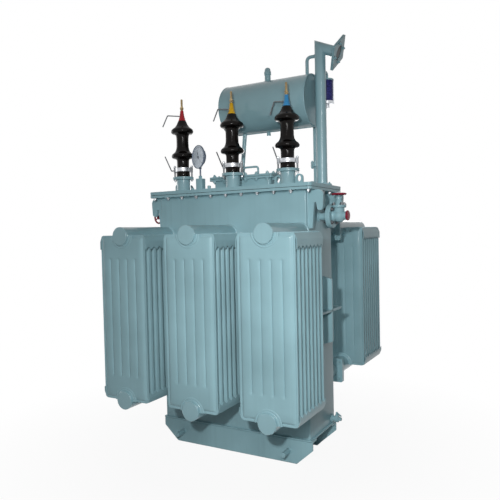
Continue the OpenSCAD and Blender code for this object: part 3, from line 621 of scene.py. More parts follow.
def finMesh(name, fine):
    grooveSteps = (-22, -15, -9, -5, -2.5, 0, 2.5, 5, 9, 15, 22) if fine else (-9, -4, 0, 4, 9)
    rimSteps = (0, 2, 5, 7, 9, 11, 15, 20, 26) if fine else (0, 3, 7, 11, 18, 26)
    ends = (-6, 0, 4, 8, 12, 16, 24) if fine else (0, 16)
    between = {60, 90, 300, 450, 620, 810, 850} if fine else {450}
    r, hwid = fin["corner"], fin["width"] / 2
    xs = {s * (hwid - e) for e in rimSteps for s in (-1, 1)} | set(fin["crests"])
    xs = sorted(xs | {g + d for g in fin["grooves"] for d in grooveSteps})
    zs = {fin["low"] + e for e in rimSteps} | {fin["high"] - e for e in rimSteps}
    zs = sorted(zs | {fin["grooveLow"] + e for e in ends} | {fin["grooveHigh"] - e for e in ends} | between)
    bm = bmesh.new()
    sheets = []
    for side in (-1, 1):
        grid = []
        for z in zs:
            over = max(abs(z - finMid) - (finHalf - r), 0)
            squeeze = (hwid - r + math.sqrt(max(r * r - over * over, 0))) / hwid
            row = [x * squeeze for x in xs]
            grid.append([bm.verts.new((x, side * finHeight(x, z), z)) for x in row])
        weave(bm, grid)
        sheets.append(grid)
    band(bm, *[border(grid) for grid in sheets])
    steps = 24 if fine else 12
    a, b, field, top = fin["header"] - 1, fin["collar"], fin["field"], fin["field"] + fin["collarRise"]
    profile = [
        (a, field - 4), (a, top - 1), (a + 3, top), (a + 9, top), (a + 13, field + 1.4),
        (a + 15, field + 1.2), (a + 18, field + 2.6), (b, field + 1.6), (b + 3, field - 1)]
    turns = arc(0, 0, 1, 0, 180, steps)
    for level, up in ((0, 1), (fin["span"], -1)):  # half collars round the headers
        for side in (-1, 1):
            rows = []
            for c, s in turns:
                spots = [(q * c, side * h, level + up * (q * s - fin["collarDrop"])) for q, h in profile]
                rows.append([bm.verts.new(spot) for spot in spots])
            for low, high in zip(rows, rows[1:]):
                band(bm, low, high)
            bm.faces.new(rows[0])
            bm.faces.new(rows[-1][::-1])
    return bpy.data.objects.new(name, meshFrom(bm, name))


def finRowTree():
    tree, start, given = openTree("finRow", [
        ("Geometry", "Geometry"), ("Outer fin", "Object"), ("Inner fin", "Object"), ("Count", "Int"),
        ("First", "Vector"), ("Step", "Vector"), ("Finish", "Material")])
    stations = {"Count": given["Count"], "Start Location": given["First"], "Offset": given["Step"]}
    line = start.node("GeometryNodeMeshLine", stations, mode="OFFSET")
    outermost = start.node("GeometryNodeInputIndex") > (given["Count"] - 1.5)
    rows = []
    for label, chosen in (("Outer fin", outermost), ("Inner fin", 1 - outermost)):
        panel = start.node("GeometryNodeObjectInfo", {"Object": given[label]}, "Geometry")
        stood = {"Points": line, "Instance": panel, "Selection": chosen}
        rows.append(start.node("GeometryNodeInstanceOnPoints", stood))
    return closeTree(tree, joined(tree, rows), given["Finish"])


finRow = finRowTree()
outerFin, innerFin = finMesh("outerFin", True), finMesh("innerFin", False)
strip = {"plate": 3, "lean": 5, "bend": 30, "proud": 8, "height": (74, 56), "tooth": 15, "flat": 3, "in": 4}


# toothed strips that tie the fins' edges together, at the top and the bottom of both sides
def tieStrips(bm, x, first, count, away, base):
    bend, proud, flat = strip["bend"], strip["proud"], strip["flat"]
    folds = [(-strip["lean"], 0), (proud - 1.5, bend - 3), (proud, bend + 3)]
    stations = []
    for middle in [i * fin["pitch"] for i in range(count)]:
        stations += [(middle - flat, 0), (middle + flat, 0), (middle + fin["pitch"] / 2, strip["tooth"])]
    stations.pop()
    high, low = base + fin["high"] - strip["in"], base + fin["low"] + strip["in"]
    for side in (-1, 1):
        for level, up, height in ((high, -1, strip["height"][0]), (low, 1, strip["height"][1])):
            sheets = []
            for inset in (0, strip["plate"]):
                wall = x + side * (fin["width"] / 2 - inset)
                rows = []
                for y, drop in stations:
                    path = folds + [(proud, height - drop)]
                    edge = [(wall + side * a, first + away * y, level + up * b) for a, b in path]
                    rows.append([bm.verts.new(spot) for spot in edge])
                weave(bm, rows)
                sheets.append(rows)
            band(bm, *[border(rows) for rows in sheets])


def radiator(bank, label, x, row, away):
    name = "radiator" + bank.title() + label.title()
    made = link(name, bpy.data.meshes.new(name))
    drive(made, finRow, {
        "Outer fin": outerFin, "Inner fin": innerFin, "Count": row["fins"], "Finish": finPaint,
        "First": (x * 0.001, row["first"] * 0.001, row["low"] * 0.001),
        "Step": (0, away * fin["pitch"] * 0.001, 0)})
    settle(made, ["fins_" + bank + "_" + label], "root")
    bm = bmesh.new()
    tieStrips(bm, x, row["first"], row["fins"], away, row["low"])
    piece(name + "Strips", bm, finPaint)


front = {"low": 360, "pitch": 440, "first": -260, "fins": 8, "end": -602, "weldR": 6}
rear = {"low": 380, "x": 370, "flange": 440, "first": 630, "fins": 9, "end": 1017, "weldR": 6}
for label, i in (("left", -1), ("middle", 0), ("right", 1)):
    radiator("front", label, i * front["pitch"], front, -1)
for label, i in (("left", -1), ("right", 1)):
    radiator("rear", label, i * rear["x"], rear, 1)


# a header with a turned groove behind its cap
def headerProfile(length):
    r = fin["header"]
    tip = ((0, 9), (1.2, 8), (1.2, 6.5), (0, 5.5), (0, 2), (2, 0))
    return [(0, 0), (r, 0)] + [(r - cut, length - back) for cut, back in tip] + [(0, length)]


bm = bmesh.new()
for i in (-1, 0, 1):
    for z in (0, fin["span"]):
        place = aim((i * front["pitch"], -hw, front["low"] + z), (0, -1, 0))
        lathe(bm, headerProfile(-front["end"] - hw), place, 64)
        bead(bm, place, fin["header"], front["weldR"], 64)
piece("frontHeaders", bm, pipePaint, ["front_headers"])

flange = {"length": 150, "width": 150, "plate": 14, "hole": 52, "gap": 0.8, "stubR": 44.5, "weldR": 5}
ends = [Vector((i * rear["x"], rear["flange"], rear["low"] + z)) for i in (-1, 1) for z in (0, fin["span"])]
plate, hole = flange["plate"], flange["hole"]
bm = bmesh.new()
spots = []
for end in ends:
    place = aim(end, (0, 1, 0))
    lathe(bm, headerProfile(rear["end"] - rear["flange"]), place, 64)
    sheet(bm, flange, 0, 10, flange["gap"], plate, place, 4)
    bead(bm, place @ at(0, 0, plate), fin["header"], flange["weldR"], 64)
    for a, b in corners:
        spots += [(end + Vector((a * hole, way * plate, b * hole)), (0, way, 0)) for way in (1, -1)]
piece("rearHeaders", bm, pipePaint, ["rear_headers"])
bm = bmesh.new()
r, reach = flange["stubR"], rear["flange"] - hw
for end in ends:
    place = aim((end.x, hw, end.z), (0, 1, 0))
    lathe(bm, rod(r, 0, reach - plate), place, 56)
    sheet(bm, flange, 0, 10, reach - plate, reach - flange["gap"], place, 4)
    bead(bm, place, r, rear["weldR"], 56)
piece("rearStubs", bm, pipePaint, ["rear_stubs"])
bolts("flangeBolts", spots, "m12", tankPaint, seed=7)
print("radiators done")


# bushings: turret, clamp ring with studs, glazed porcelain, sleeve, stem and arcing horns
phases = [
    ("red", -350, 0, 8, redSleeve), ("yellow", 0, -12, 0, yellowSleeve), ("blue", 350, -25, 0, blueSleeve)]
thread = [(7 if k % 2 else 6.1, 88 + k * 2) for k in range(19)]
bushing = {
    "y": -120, "turretR": 42, "flangeR": 64, "flangeLow": 72, "foot": 88, "ringR": 47, "ringLow": 120,
    "ringPlate": 24, "top": 428, "clampTurn": 20, "studR": 5, "studOut": 6, "studLow": 50, "studHigh": 8,
    "block": [(-2, -7), (9, -7), (12, -4), (12, 4), (9, 7), (-2, 7)], "blockLow": 4, "blockHigh": 3,
    "nutR": 11.5, "nuts": ((66, 74), (75, 81)), "hornR": 3.6, "hornBend": 6, "lowerHorn": (40, 81, 128, 92),
    "glaze": [
        (0, 0), (40, 0), (41, 1.5), (41, 29), (39, 32), (37, 34), (37, 96), (39, 106), (46, 111), (58, 113),
        (64, 116), (67.5, 121), (68, 128), (66, 135), (60, 141), (52, 147), (45.5, 155), (41, 165),
        (38, 178), (37, 200), (37, 230), (38.5, 246), (42, 256), (48, 260), (58, 261), (64, 264),
        (67.5, 269), (68, 276), (66, 283), (60, 290), (51, 296), (44, 302), (38, 310), (33, 318),
        (29.5, 326), (27, 332), (24.5, 337), (22, 340), (0, 340)],
    "sleeve": [
        (8, 0.3), (21.5, 0.3), (22, 4), (19, 7), (18.4, 16), (16, 18), (15.4, 28), (13.4, 30), (13, 41),
        (11.4, 43), (11, 54), (9.6, 60), (8, 62)],
    "stem": [(0, 0), (8, 0), (8, 62), (7, 62), (7, 87), *thread, (5, 129), (0, 130)],
    "upperHorn": ((9, 28.6), (108.6, 44.4), (147.6, -20.6))}


def horn(bm, place, points):
    path = softPath([place @ Vector((x, 0, z)) for x, z in points], bushing["hornBend"], 5)
    tube(bm, path, bushing["hornR"], 12)


turretBm, ringBm, clampBm, hornBm, nutSpots = bmesh.new(), bmesh.new(), bmesh.new(), bmesh.new(), []
for name, x, turn, extra, sleeve in phases:
    place = at(x, bushing["y"], coverZ)
    above = place @ at(0, 0, bushing["top"])
    r, f, low, high = bushing["turretR"], bushing["flangeR"], bushing["flangeLow"], bushing["foot"]
    profile = [
        (0, 0), (r + 6, 0), (r + 5, 3), (r + 1, 6), (r, 8), (r, low - 2), (r + 2, low), (f - 1.5, low),
        (f, low + 1.5), (f, low + 7), (f - 1.5, low + 8), (f, low + 9), (f, high - 1.5), (f - 1.5, high),
        (0, high)]
    lathe(turretBm, profile, place, 56)
    r, low, high = bushing["ringR"], bushing["ringLow"], bushing["ringLow"] + bushing["ringPlate"]
    profile = [
        (r - 10, low), (r - 1.5, low), (r, low + 1.5), (r, low + 5), (r - 1, low + 7), (r - 1, high - 7),
        (r, high - 5), (r, high - 1.5), (r - 1.5, high), (r - 10, high)]
    lathe(ringBm, profile, place, 56, closed=True)
    for k in (0, 180):
        around = place @ spin(bushing["clampTurn"] + k)
        block, blockTop = [(r + a, b) for a, b in bushing["block"]], high + bushing["blockHigh"]
        slab(clampBm, block, low - bushing["blockLow"], blockTop, around)
        stud = rod(bushing["studR"], low - bushing["studLow"], high + bushing["studHigh"])
        out = r + bushing["studOut"]
        lathe(clampBm, stud, around @ at(out, 0, 0), 12)
        nutSpots.append((around @ Vector((out, 0, blockTop)), (0, 0, 1)))
        nutSpots.append((around @ Vector((out, 0, bushing["flangeLow"])), (0, 0, -1)))
    mid = (low + high) / 2
    near, bend, tip, rise = bushing["lowerHorn"]
    horn(hornBm, place @ spin(turn + 180), ((near, mid), (bend + extra, mid), (tip + extra, mid + rise)))
    title, foot = name.title(), place @ at(0, 0, bushing["foot"])
    looks = {"slot": "porcelain", "sharp": 80}
    turned("porcelain" + title, bushing["glaze"], foot, 72, brownGlaze, ["porcelain_" + name], **looks)
    looks = {"slot": "phase_" + name, "sharp": 60}
    turned("sleeve" + title, bushing["sleeve"], above, 36, sleeve, ["cone_" + name], True, **looks)
    bm = bmesh.new()  # stem with nuts and a thread
    lathe(bm, bushing["stem"], above, 24)
    for low, high in bushing["nuts"]:
        r = bushing["nutR"]
        nut = [(0, low), (r - 1, low), (r, low + 1), (r, high - 1), (r - 1, high), (0, high)]
        lathe(bm, nut, above @ Matrix.Rotation(low, 4, "Z"), 6)  # each nut is rolled differently
    piece("stem" + title, bm, brassStem, ["stem_" + name], slot="brass")
    horn(hornBm, above @ spin(turn + 180), bushing["upperHorn"])
piece("bushingTurrets", turretBm, pipePaint, ["bushing_turrets"])
piece("clampRings", ringBm, zincPlate, ["clamp_rings"], slot="zinc")
soften(clampBm, 2, 50)
piece("clampBlocks", clampBm, dullSteel, slot="zinc")
piece("arcingHorns", hornBm, dullSteel, slot="zinc")
bolts("clampNuts", nutSpots, "m8", rimZinc, seed=3)
print("bushings done")


# inspection opening with its bolted cover and handle
hatch = {
    "length": 380, "width": 100, "height": 70, "lip": 22, "plate": 12, "y": 24, "handleX": 54,
    "handleY": -1, "handle": 96, "handleR": 6, "rise": 48, "weldR": 5, "boltOut": 10,
    "boltX": (-180, -108, -36, 36, 108, 180), "boltY": 22}
place, lip, top = at(0, hatch["y"], coverZ), 2 * hatch["lip"], hatch["height"]
bm = bmesh.new()
sheet(bm, hatch, 0, 16, 0, top - 1, place)
sheet(bm, hatch, lip, 12, top - hatch["plate"], top - 1, place)
soften(bm, 1.5)
sheet(bm, hatch, 2 * hatch["weldR"], 20, 0, hatch["weldR"], place)
piece("hatchNeck", bm, tankPaint, ["inspection_neck"])
bm = bmesh.new()
sheet(bm, hatch, lip - 8, 10, top - 1.2, top + 1.2, place)
piece("hatchGasket", bm, gasketRubber, slot="diaphragm")
bm = bmesh.new()
sheet(bm, hatch, lip, 12, top + 1, top + hatch["plate"], place)
soften(bm, 1.5)
z, half = coverZ + top + hatch["plate"] - 1, hatch["handle"] / 2
bow = [(-half, z), (-half, z + hatch["rise"] + 1), (half, z + hatch["rise"] + 1), (half, z)]
tube(bm, softPath([(hatch["handleX"] + a, hatch["handleY"], b) for a, b in bow], 16), hatch["handleR"], 16)
piece("hatchCover", bm, tankPaint, ["inspection_cover"])
ex, ey = hatch["length"] / 2 + hatch["boltOut"], hatch["width"] / 2 + hatch["boltOut"]
spots = [(x, s * ey) for x in hatch["boltX"] for s in (-1, 1)]
spots += [(s * ex, t * hatch["boltY"]) for t in (-1, 1) for s in (-1, 1)]
levels = ((coverZ + top + hatch["plate"], 1), (coverZ + top - hatch["plate"], -1))
spots = [((x, hatch["y"] + y, z), (0, 0, up)) for z, up in levels for x, y in spots]
bolts("hatchBolts", spots, "m10", tankPaint, seed=5)

# eye plates on the cover, for lifting it
eye = {
    "width": 46, "height": 58, "plate": 10, "hole": (11, 17),
    "spots": ((292, -120), (418, -120), (-430, 60), (-430, -60))}
w, h, (a, b) = eye["width"] / 2, eye["height"], eye["hole"]
outline = [(-w, 0), (w, 0)] + arc(0, h - w, w, 0, 180, 14)
hole = [(a * u, h - w - 2 + b * v) for u, v in circle(1, 16)]
bm = bmesh.new()
for x, y in eye["spots"]:
    place = Matrix(((1, 0, 0, x), (0, 0, 1, y - eye["plate"] / 2), (0, 1, 0, coverZ - 1), (0, 0, 0, 1)))
    sheets = []
    for depth in (0, eye["plate"]):
        rings = [ring(bm, shape, depth, place) for shape in (outline, hole)]
        edges = [bm.edges.new(pair) for loop in rings for pair in zip(loop, loop[1:] + loop[:1])]
        bmesh.ops.triangle_fill(bm, edges=edges, use_beauty=True)
        sheets.append(rings)
    for low, high in zip(*sheets):
        band(bm, low, high)
piece("coverEyes", bm, tankPaint)
print("cover fittings done")


# dial thermometer: case, bezel, face with plain marks and a pointer
dial = {
    "x": -208, "y": -146, "z": coverZ + 196, "r": 69, "depth": 34, "turn": 25, "pocket": 42,
    "pocketHeight": 68, "nutR": 12, "nutHeight": 16, "marks": 31, "markStep": 9, "markFrom": 135,
    "markIn": 10, "markHalf": 0.7, "markLong": 9, "markShort": 4.5, "pointerTurn": 8,
    "pipe": [(0, 80), (6, 80), (5, 88), (5, 124), (8, 126), (8, 136), (0, 136)],
    "pointer": [(-2.2, -12), (2.2, -12), (1.6, 20), (0, 41), (-1.6, 20)]}
turn = math.radians(dial["turn"])
facing = Vector((-math.sin(turn), -math.cos(turn), 0))
place = aim(Vector((dial["x"], dial["y"], dial["z"])) - facing * dial["depth"] / 2, facing, -dial["turn"])
stem = at(dial["x"], dial["y"], coverZ)
bm = bmesh.new()
r, h = dial["nutR"], dial["pocketHeight"]
slab(bm, roundRect(dial["pocket"], dial["pocket"], 4, 3), 0, h, stem)
soften(bm, 1.5, 50)
lathe(bm, rod(r, h - 1, h + dial["nutHeight"]), stem, 6)
piece("thermometerPocket", bm, tankPaint)
bm = bmesh.new()
r, d = dial["r"], dial["depth"]
case = [
    (0, 0), (r - 26, 0), (r - 23, 3), (r - 22, d - 13), (r - 4, d - 12), (r - 1, d - 10), (r, d - 8),
    (r, d - 2), (r - 2, d), (r - 3, d), (r - 4, d - 4), (r - 4, d - 6), (0, d - 6)]
lathe(bm, case, place, 56)
lathe(bm, dial["pipe"], stem, 18)
piece("thermometerCase", bm, dialCase, ["thermometer"], slot="zinc")
face = [(0, d - 7), (r - 4, d - 7), (r - 4, d - 4.5), (0, d - 4.2)]
turned("thermometerFace", face, place, 56, dialWhite, ["thermometer_face"], slot="dial")
bm = bmesh.new()
for k in range(dial["marks"]):
    w, high = dial["markHalf"], r - dial["markIn"]
    low = high - dial["markShort" if k % 5 else "markLong"]
    mark = place @ spin(dial["markFrom"] - dial["markStep"] * k)
    slab(bm, [(-w, low), (w, low), (w, high), (-w, high)], d - 4.6, d - 3.6, mark)
slab(bm, dial["pointer"], d - 3.4, d - 2.6, place @ spin(dial["pointerTurn"]))
lathe(bm, [(0, d - 4), (5, d - 4), (4.5, d - 1.5), (0, d - 1.2)], place, 20)
piece("thermometerMarks", bm, dialInk, slot="diaphragm")
print("thermometer done")


# conservator: drum, end plates, legs, feed pipe, filler and drain
drum = {
    "r": 150, "wall": 5, "left": -138, "right": 406, "y": 120, "z": 2018, "fitX": 116, "seamR": 3,
    "legR": 13, "legs": ((-36, -86), (208, 258)), "sole": (70, 52), "solePlate": 10, "soleBolt": (26, 18),
    "feed": (385, 195), "feedBoltR": 22, "feedBolts": ((12, 1), (148, 1), (124, -1)),
    "filler": [
        (0, -6), (24, -6), (23, 3), (18, 6), (18, 38), (21, 40), (21, 58), (18.5, 61), (18, 68), (16, 76),
        (11, 81), (5, 83.5), (0, 84)],
    "drain": [(0, 6), (16, 6), (15, -2), (12, -4), (12, -22), (10, -24), (0, -24)],
    "pipe": [
        (0, 0), (30, 0), (30, 10), (28, 12), (16, 12), (13, 15), (13, 122), (30, 124), (30, 135),
        (28.5, 135.6), (28.5, 136.4), (30, 137), (30, 148), (13, 150), (13, 376), (0, 376)]}
length, r, y, z = drum["right"] - drum["left"], drum["r"], drum["y"], drum["z"]
bm = bmesh.new()
shell = [(r - drum["wall"], 0), (r, 0), (r, length), (r - drum["wall"], length)]
lathe(bm, shell, aim((drum["left"], y, z), (1, 0, 0)), 96, closed=True)
lathe(bm, drum["filler"], at(drum["fitX"], y, z + r), 36)
lathe(bm, drum["drain"], at(drum["fitX"], y, z - r), 28)
tube(bm, [(drum["left"] + 2, y, z - r - 0.5), (drum["right"] - 2, y, z - r - 0.5)], drum["seamR"], 8)
piece("conservatorDrum", bm, pipePaint, ["conservator_shell"])
cap = [
    (0, -2), (r, -2), (r + 1.5, 1), (r + 1.5, 6), (r, 8), (r - 4, 8), (r - 6, 6), (r - 7, 0.5),
    (r - 12, -0.5), (0, -0.5)]
for label, way in (("left", -1), ("right", 1)):
    place, node = aim((drum[label], y, z), (way, 0, 0)), "conservator_end_" + label
    turned("conservatorEnd" + label.title(), cap, place, 96, tankPaint, [node], sharp=60)
bm = bmesh.new()
for head, foot in drum["legs"]:
    tube(bm, [(foot, y, coverZ + 4), (head, y, z - 20)], drum["legR"], 24)
    slab(bm, roundRect(*drum["sole"], 5, 3), 0, drum["solePlate"], at(foot, y, coverZ))
piece("conservatorLegs", bm, pipePaint, ["conservator_legs"])
place = at(*drum["feed"], coverZ)
turned("conservatorFeed", drum["pipe"], place, 40, pipePaint, ["conservator_feed"])
spots = []
for level, up in drum["feedBolts"]:
    spots += fourSpots(place, drum["feedBoltR"], level, up)
bx, by = drum["soleBolt"]
for head, foot in drum["legs"]:
    spots += [((foot + a * bx, y + b * by, coverZ + drum["solePlate"]), (0, 0, 1)) for a, b in corners]
bolts("drumBolts", spots, "m8", tankPaint, seed=9)
print("conservator done")


# explosion vent with its square flange on edge, the equaliser and the breather
vent = {
    "x": 454, "y": 120, "r": 31, "top": coverZ + 790, "slope": 22, "turn": 8, "reach": 104, "side": 148,
    "plate": 14, "groove": 0.8, "disc": 42, "bolt": 57, "footBolt": (45, 14),
    "foot": [(0, 0), (56, 0), (56, 12), (54, 14), (33, 14), (30, 19), (0, 19)]}
slope, turn = math.radians(vent["slope"]), math.radians(vent["turn"])
along = Vector((math.cos(slope) * math.cos(turn), math.cos(slope) * math.sin(turn), -math.sin(slope)))
corner = Vector((vent["x"], vent["y"], vent["top"]))
base = at(vent["x"], vent["y"], coverZ)
bm = bmesh.new()
tube(bm, [(vent["x"], vent["y"], coverZ), corner, corner + along * vent["reach"]], vent["r"], 48)
lathe(bm, vent["foot"], base, 48)
piece("ventPipe", bm, pipePaint, ["vent_pipe", "vent_outlet"])
mouth = aim(corner + along * vent["reach"], along, vent["turn"])
edgewise = mouth @ spin(45)
square = roundRect(vent["side"], vent["side"], 6, 4)
r, plate, mid = vent["disc"], vent["plate"], vent["plate"] / 2
hole = circle(r, len(square), 180 / len(square))
bm = bmesh.new()
slab(bm, square, 0, mid, edgewise)
under = mid + vent["groove"]
around = ((square, under), (square, plate), (hole, plate), (hole, under))
rows = [ring(bm, shape, h, edgewise) for shape, h in around]
for low, high in zip(rows, rows[1:] + rows[:1]):
    band(bm, low, high)
piece("ventFlange", bm, tankPaint, ["vent_flange"])
disc = [(0, mid), (r, mid), (r, mid + 3), (r - 8, mid + 3.5), (0, mid + 5)]
turned("ventDisc", disc, mouth, 40, burstDisc, ["vent_diaphragm"], slot="diaphragm")
spots = [(mouth @ spin(45 + 90 * k) @ Vector((vent["bolt"], 0, plate)), along) for k in range(4)]
bolts("ventBolts", spots + fourSpots(base, *vent["footBolt"]), "m8", tankPaint, seed=11)

equaliser = {
    "x": vent["x"] - vent["r"] - 50, "low": z + 140, "seat": z + 148, "high": z + 250, "r": 10, "bend": 42,
    "inside": 5, "weldR": 4}
x, high, r = equaliser["x"], equaliser["high"], equaliser["r"]
bm = bmesh.new()
wall = vent["x"] - vent["r"]
bow = [(x, y, equaliser["low"]), (x, y, high), (wall + equaliser["inside"], y, high)]
tube(bm, softPath(bow, equaliser["bend"], 12), r, 20)
for seam in (aim((wall + 1, y, high), (-1, 0, 0)), at(x, y, equaliser["seat"])):
    bead(bm, seam, r, equaliser["weldR"], 24)
piece("equaliser", bm, pipePaint, ["equaliser_pipe"])

jar = {
    "x": 460, "y": 199, "top": z + 120, "r": 38, "height": 118, "pipeR": 11, "pipeRise": 46, "pipeY": 140,
    "rodR": 3, "rodRing": 38.8,
    "lid": [(0, 0), (40, 0), (42, 2), (42, 8), (40, 10), (18, 12), (16, 15), (0, 15)],
    "cup": [(0, -40), (13, -40), (15, -38), (15, -18), (40, -18), (42, -16), (42, -2), (40, 0), (0, 0)]}
x, y, top, r, h = jar["x"], jar["y"], jar["top"], jar["r"], -jar["height"]
place, high = at(x, y, top), top + jar["pipeRise"]
bm = bmesh.new()
tube(bm, softPath([(x, jar["pipeY"], high), (x, y, high), (x, y, top + 4)], 24), jar["pipeR"], 20)
lathe(bm, jar["lid"], place, 40)
piece("breatherPipe", bm, pipePaint, ["breather_pipe"])
turned("breatherJar", rod(r, h, 0), place, 48, blueGel, ["breather_jar"], slot="jar")
bm = bmesh.new()
lathe(bm, jar["cup"], place @ at(0, 0, h), 40)
for x, y in circle(jar["rodRing"], 3, 20):
    lathe(bm, rod(jar["rodR"], h, 0), place @ at(x, y, 0), 10)
piece("breatherCup", bm, zincPlate, ["breather_cup"], slot="zinc")
print("vent and breather done")


# valves: flanged filter valve and low drain cock at the right end, small valve at the left
wheel = {
    "r": 42, "rim": 5.5, "spokes": 3, "spokeR": 3.4,
    "hub": [(6.05, -7), (12, -7), (13, -5), (13, 5), (11, 7), (6.05, 7)],
    "nut": [(4, 7), (10, 7), (10, 12), (4, 12)]}


def handwheel(label, place):
    bm = bmesh.new()
    r, rim = wheel["r"] - wheel["rim"], wheel["rim"]
    lathe(bm, [(r + a, b) for a, b in circle(rim, 14)], place, 48, closed=True)
    lathe(bm, wheel["hub"], place, 24, closed=True)
    for k in range(wheel["spokes"]):
        spoke = place @ spin(360 * k / wheel["spokes"])
        bow = ((10, 0, 0), (18, 0, 1.2), (28, 0, 1.2), (r, 0, 0))
        tube(bm, [spoke @ Vector(p) for p in bow], wheel["spokeR"], 10)
    nodes, body = [label + "_valve_wheel"], label + "_wheel"
    piece(label + "Wheel", bm, redEnamel, nodes, body, "red_paint")


valve = {
    "x": 597, "z": 1346, "wheel": 1464, "knurls": 20, "knurlR": 1.6, "knurl": (161, 169), "capR": 26,
    "flange": (57, 85), "flangeBolt": 50, "bonnetBolt": (32, 58),
    "neck": [
        (0, 0), (28, 0), (26, 5), (21, 7), (21, 54), (24, 57), (63, 57), (65, 59), (65, 70), (64, 70.6),
        (64, 71.4), (65, 72), (65, 83), (63, 85), (34, 85), (31, 90), (30, 96), (33, 104), (36, 112),
        (36, 124), (33, 134), (28, 140), (23, 144), (23, 159), (0, 159)],
    "bonnet": [
        (0, 0), (30, 0), (29, 40), (31, 43), (37, 44), (39, 46), (39, 50), (37.5, 51), (39, 52), (39, 56),
        (37, 58), (24, 58), (21, 64), (18, 84), (16, 88)],
    "spindle": [(0, 88), (17, 88), (17, 100), (15, 102), (13, 105), (6, 105), (6, 128), (5, 130), (0, 130)],
    "cap": [(0, 159), (24, 159), (26, 161), (26, 169), (24, 171), (15, 171), (14, 173), (0, 173)]}
place, body = aim((hl, 0, valve["z"]), (1, 0, 0)), at(valve["x"], 0, valve["z"])
bm = bmesh.new()
lathe(bm, valve["neck"], place)
lathe(bm, valve["bonnet"], body, 36)
lathe(bm, valve["spindle"], body, 24)
piece("filterValve", bm, tankPaint, ["filter_valve"])
r, (low, high) = valve["flangeBolt"], valve["flange"]
spots = fourSpots(place, r, high) + fourSpots(place, r, low, -1) + fourSpots(body, *valve["bonnetBolt"])
bolts("valveBolts", spots, "m10", dullSteel, seed=13)
bm = bmesh.new()
lathe(bm, valve["cap"], place, 30)
for x, y in circle(valve["capR"], valve["knurls"]):
    lathe(bm, rod(valve["knurlR"], *valve["knurl"]), place @ at(x, y, 0), 6)
piece("filterValveCap", bm, redEnamel, ["filter_valve_cap"], slot="red_paint")
place = at(valve["x"], 0, valve["wheel"])
handwheel("filter", place)
turned("filterWheelNut", wheel["nut"], place, 6, zincPlate, closed=True, body="filter_wheel", slot="zinc")

side = {
    "y": -85, "z": 1373, "wheel": -576, "bolt": (28, 10), "boltTurn": 20,
    "flange": [(0, 0), (34, 0), (34, 8), (32, 10), (23, 11), (21, 14), (21, 30), (0, 30)],
    "body": [(0, 28), (27, 28), (29, 31), (29, 57), (27, 60), (0, 60)],
    "spindle": [(0, 60), (20, 60), (17, 70), (14, 82), (6, 83), (6, 106), (5, 108), (0, 108)]}
place = aim((-hl, side["y"], side["z"]), (-1, 0, 0))
bm = bmesh.new()
lathe(bm, side["flange"], place, 40)
lathe(bm, side["body"], place, 8)
lathe(bm, side["spindle"], place, 28)
piece("sideValve", bm, pipePaint, ["side_valve"])
handwheel("side", aim((side["wheel"], side["y"], side["z"]), (-1, 0, 0)))
spots = fourSpots(place, *side["bolt"], start=side["boltTurn"])
bolts("sideValveBolts", spots, "m8", tankPaint, seed=15)

drain = {
    "y": 140, "z": 172, "post": 31, "leverR": 4, "lever": ((0, 0, 33), (11, -8, 33), (35, -26, 26)),
    "body": [
        (0, 0), (24, 0), (24, 6), (22, 8), (15, 9), (15, 19), (20, 21), (20, 41), (15, 43), (11, 46),
        (10, 58), (8, 59), (0, 59)],
    "plug": [(0, 0), (8.5, 0), (8.5, 26), (6, 28), (6, 38), (0, 38)]}
post = at(hl + drain["post"], drain["y"], drain["z"])
bm = bmesh.new()
lathe(bm, drain["body"], aim((hl, drain["y"], drain["z"]), (1, 0, 0)), 30)
lathe(bm, drain["plug"], post, 20)
tube(bm, [post @ Vector(p) for p in drain["lever"]], drain["leverR"], 10)
piece("drainCock", bm, tankPaint, ["drain_valve"])
print("valves done")


# low-voltage cable box on the back wall
box = {
    "width": 300, "depth": 190, "height": 440, "top": 1395, "lip": 14, "lipPlate": 4, "cover": 6,
    "handleX": 90, "handle": 50, "handleOut": 26, "handleR": 5, "boltIn": 10, "glandIn": 15, "glandNear": 20,
    "glandFar": 25, "glandPlate": 6}
half, back, top, low = box["width"] / 2, hw + box["depth"], box["top"], box["top"] - box["height"]
wide, lipLow, lipTop = half + box["lip"], low - box["lip"], top + box["lip"]
bm = bmesh.new()
slab(bm, roundRect(box["width"], box["depth"], 4, 3), low, top, at(0, (hw + back) / 2, 0))
brick(bm, (-wide, back - 1 - box["lipPlate"], lipLow), (wide, back - 1, lipTop))
edge, under = half - box["glandIn"], low - box["glandPlate"]
brick(bm, (-edge, hw + box["glandNear"], under), (edge, back - box["glandFar"], low + 1))
soften(bm, 1.5, 50)
piece("cableBox", bm, tankPaint, ["cable_box"])
y = back + box["cover"]
bm = bmesh.new()
brick(bm, (-wide, back, lipLow), (wide, y, lipTop))
soften(bm, 1.5, 50)
z, h, out = (low + top) / 2, box["handle"], y - 1 + box["handleOut"]
for x in (-box["handleX"], box["handleX"]):
    bow = [(x, y - 1, z - h), (x, out, z - h), (x, out, z + h), (x, y - 1, z + h)]
    tube(bm, softPath(bow, 12, 6), box["handleR"], 12)
piece("cableBoxCover", bm, tankPaint, ["cable_box_cover"])
x0, z0, z1 = wide - box["boltIn"], lipLow + box["boltIn"], lipTop - box["boltIn"]
spots = [(i * x0 / 2, z) for i in (-2, -1, 0, 1, 2) for z in (z0, z1)]
spots += [(s * x0, z0 + (z1 - z0) * k / 5) for s in (-1, 1) for k in (1, 2, 3, 4)]
bolts("boxBolts", [((x, y, z), (0, 1, 0)) for x, z in spots], "m8", seed=17)
print("cable box done")


# floor, light and camera
def seenRays(tree):
    outputs = tree.nodes.new("ShaderNodeLightPath").outputs
    kinds = ("Is Camera Ray", "Is Glossy Ray", "Is Transmission Ray")
    seen, mirrored, through = [Wire(tree, outputs[kind]) for kind in kinds]
    return (seen + mirrored + through).clamp()


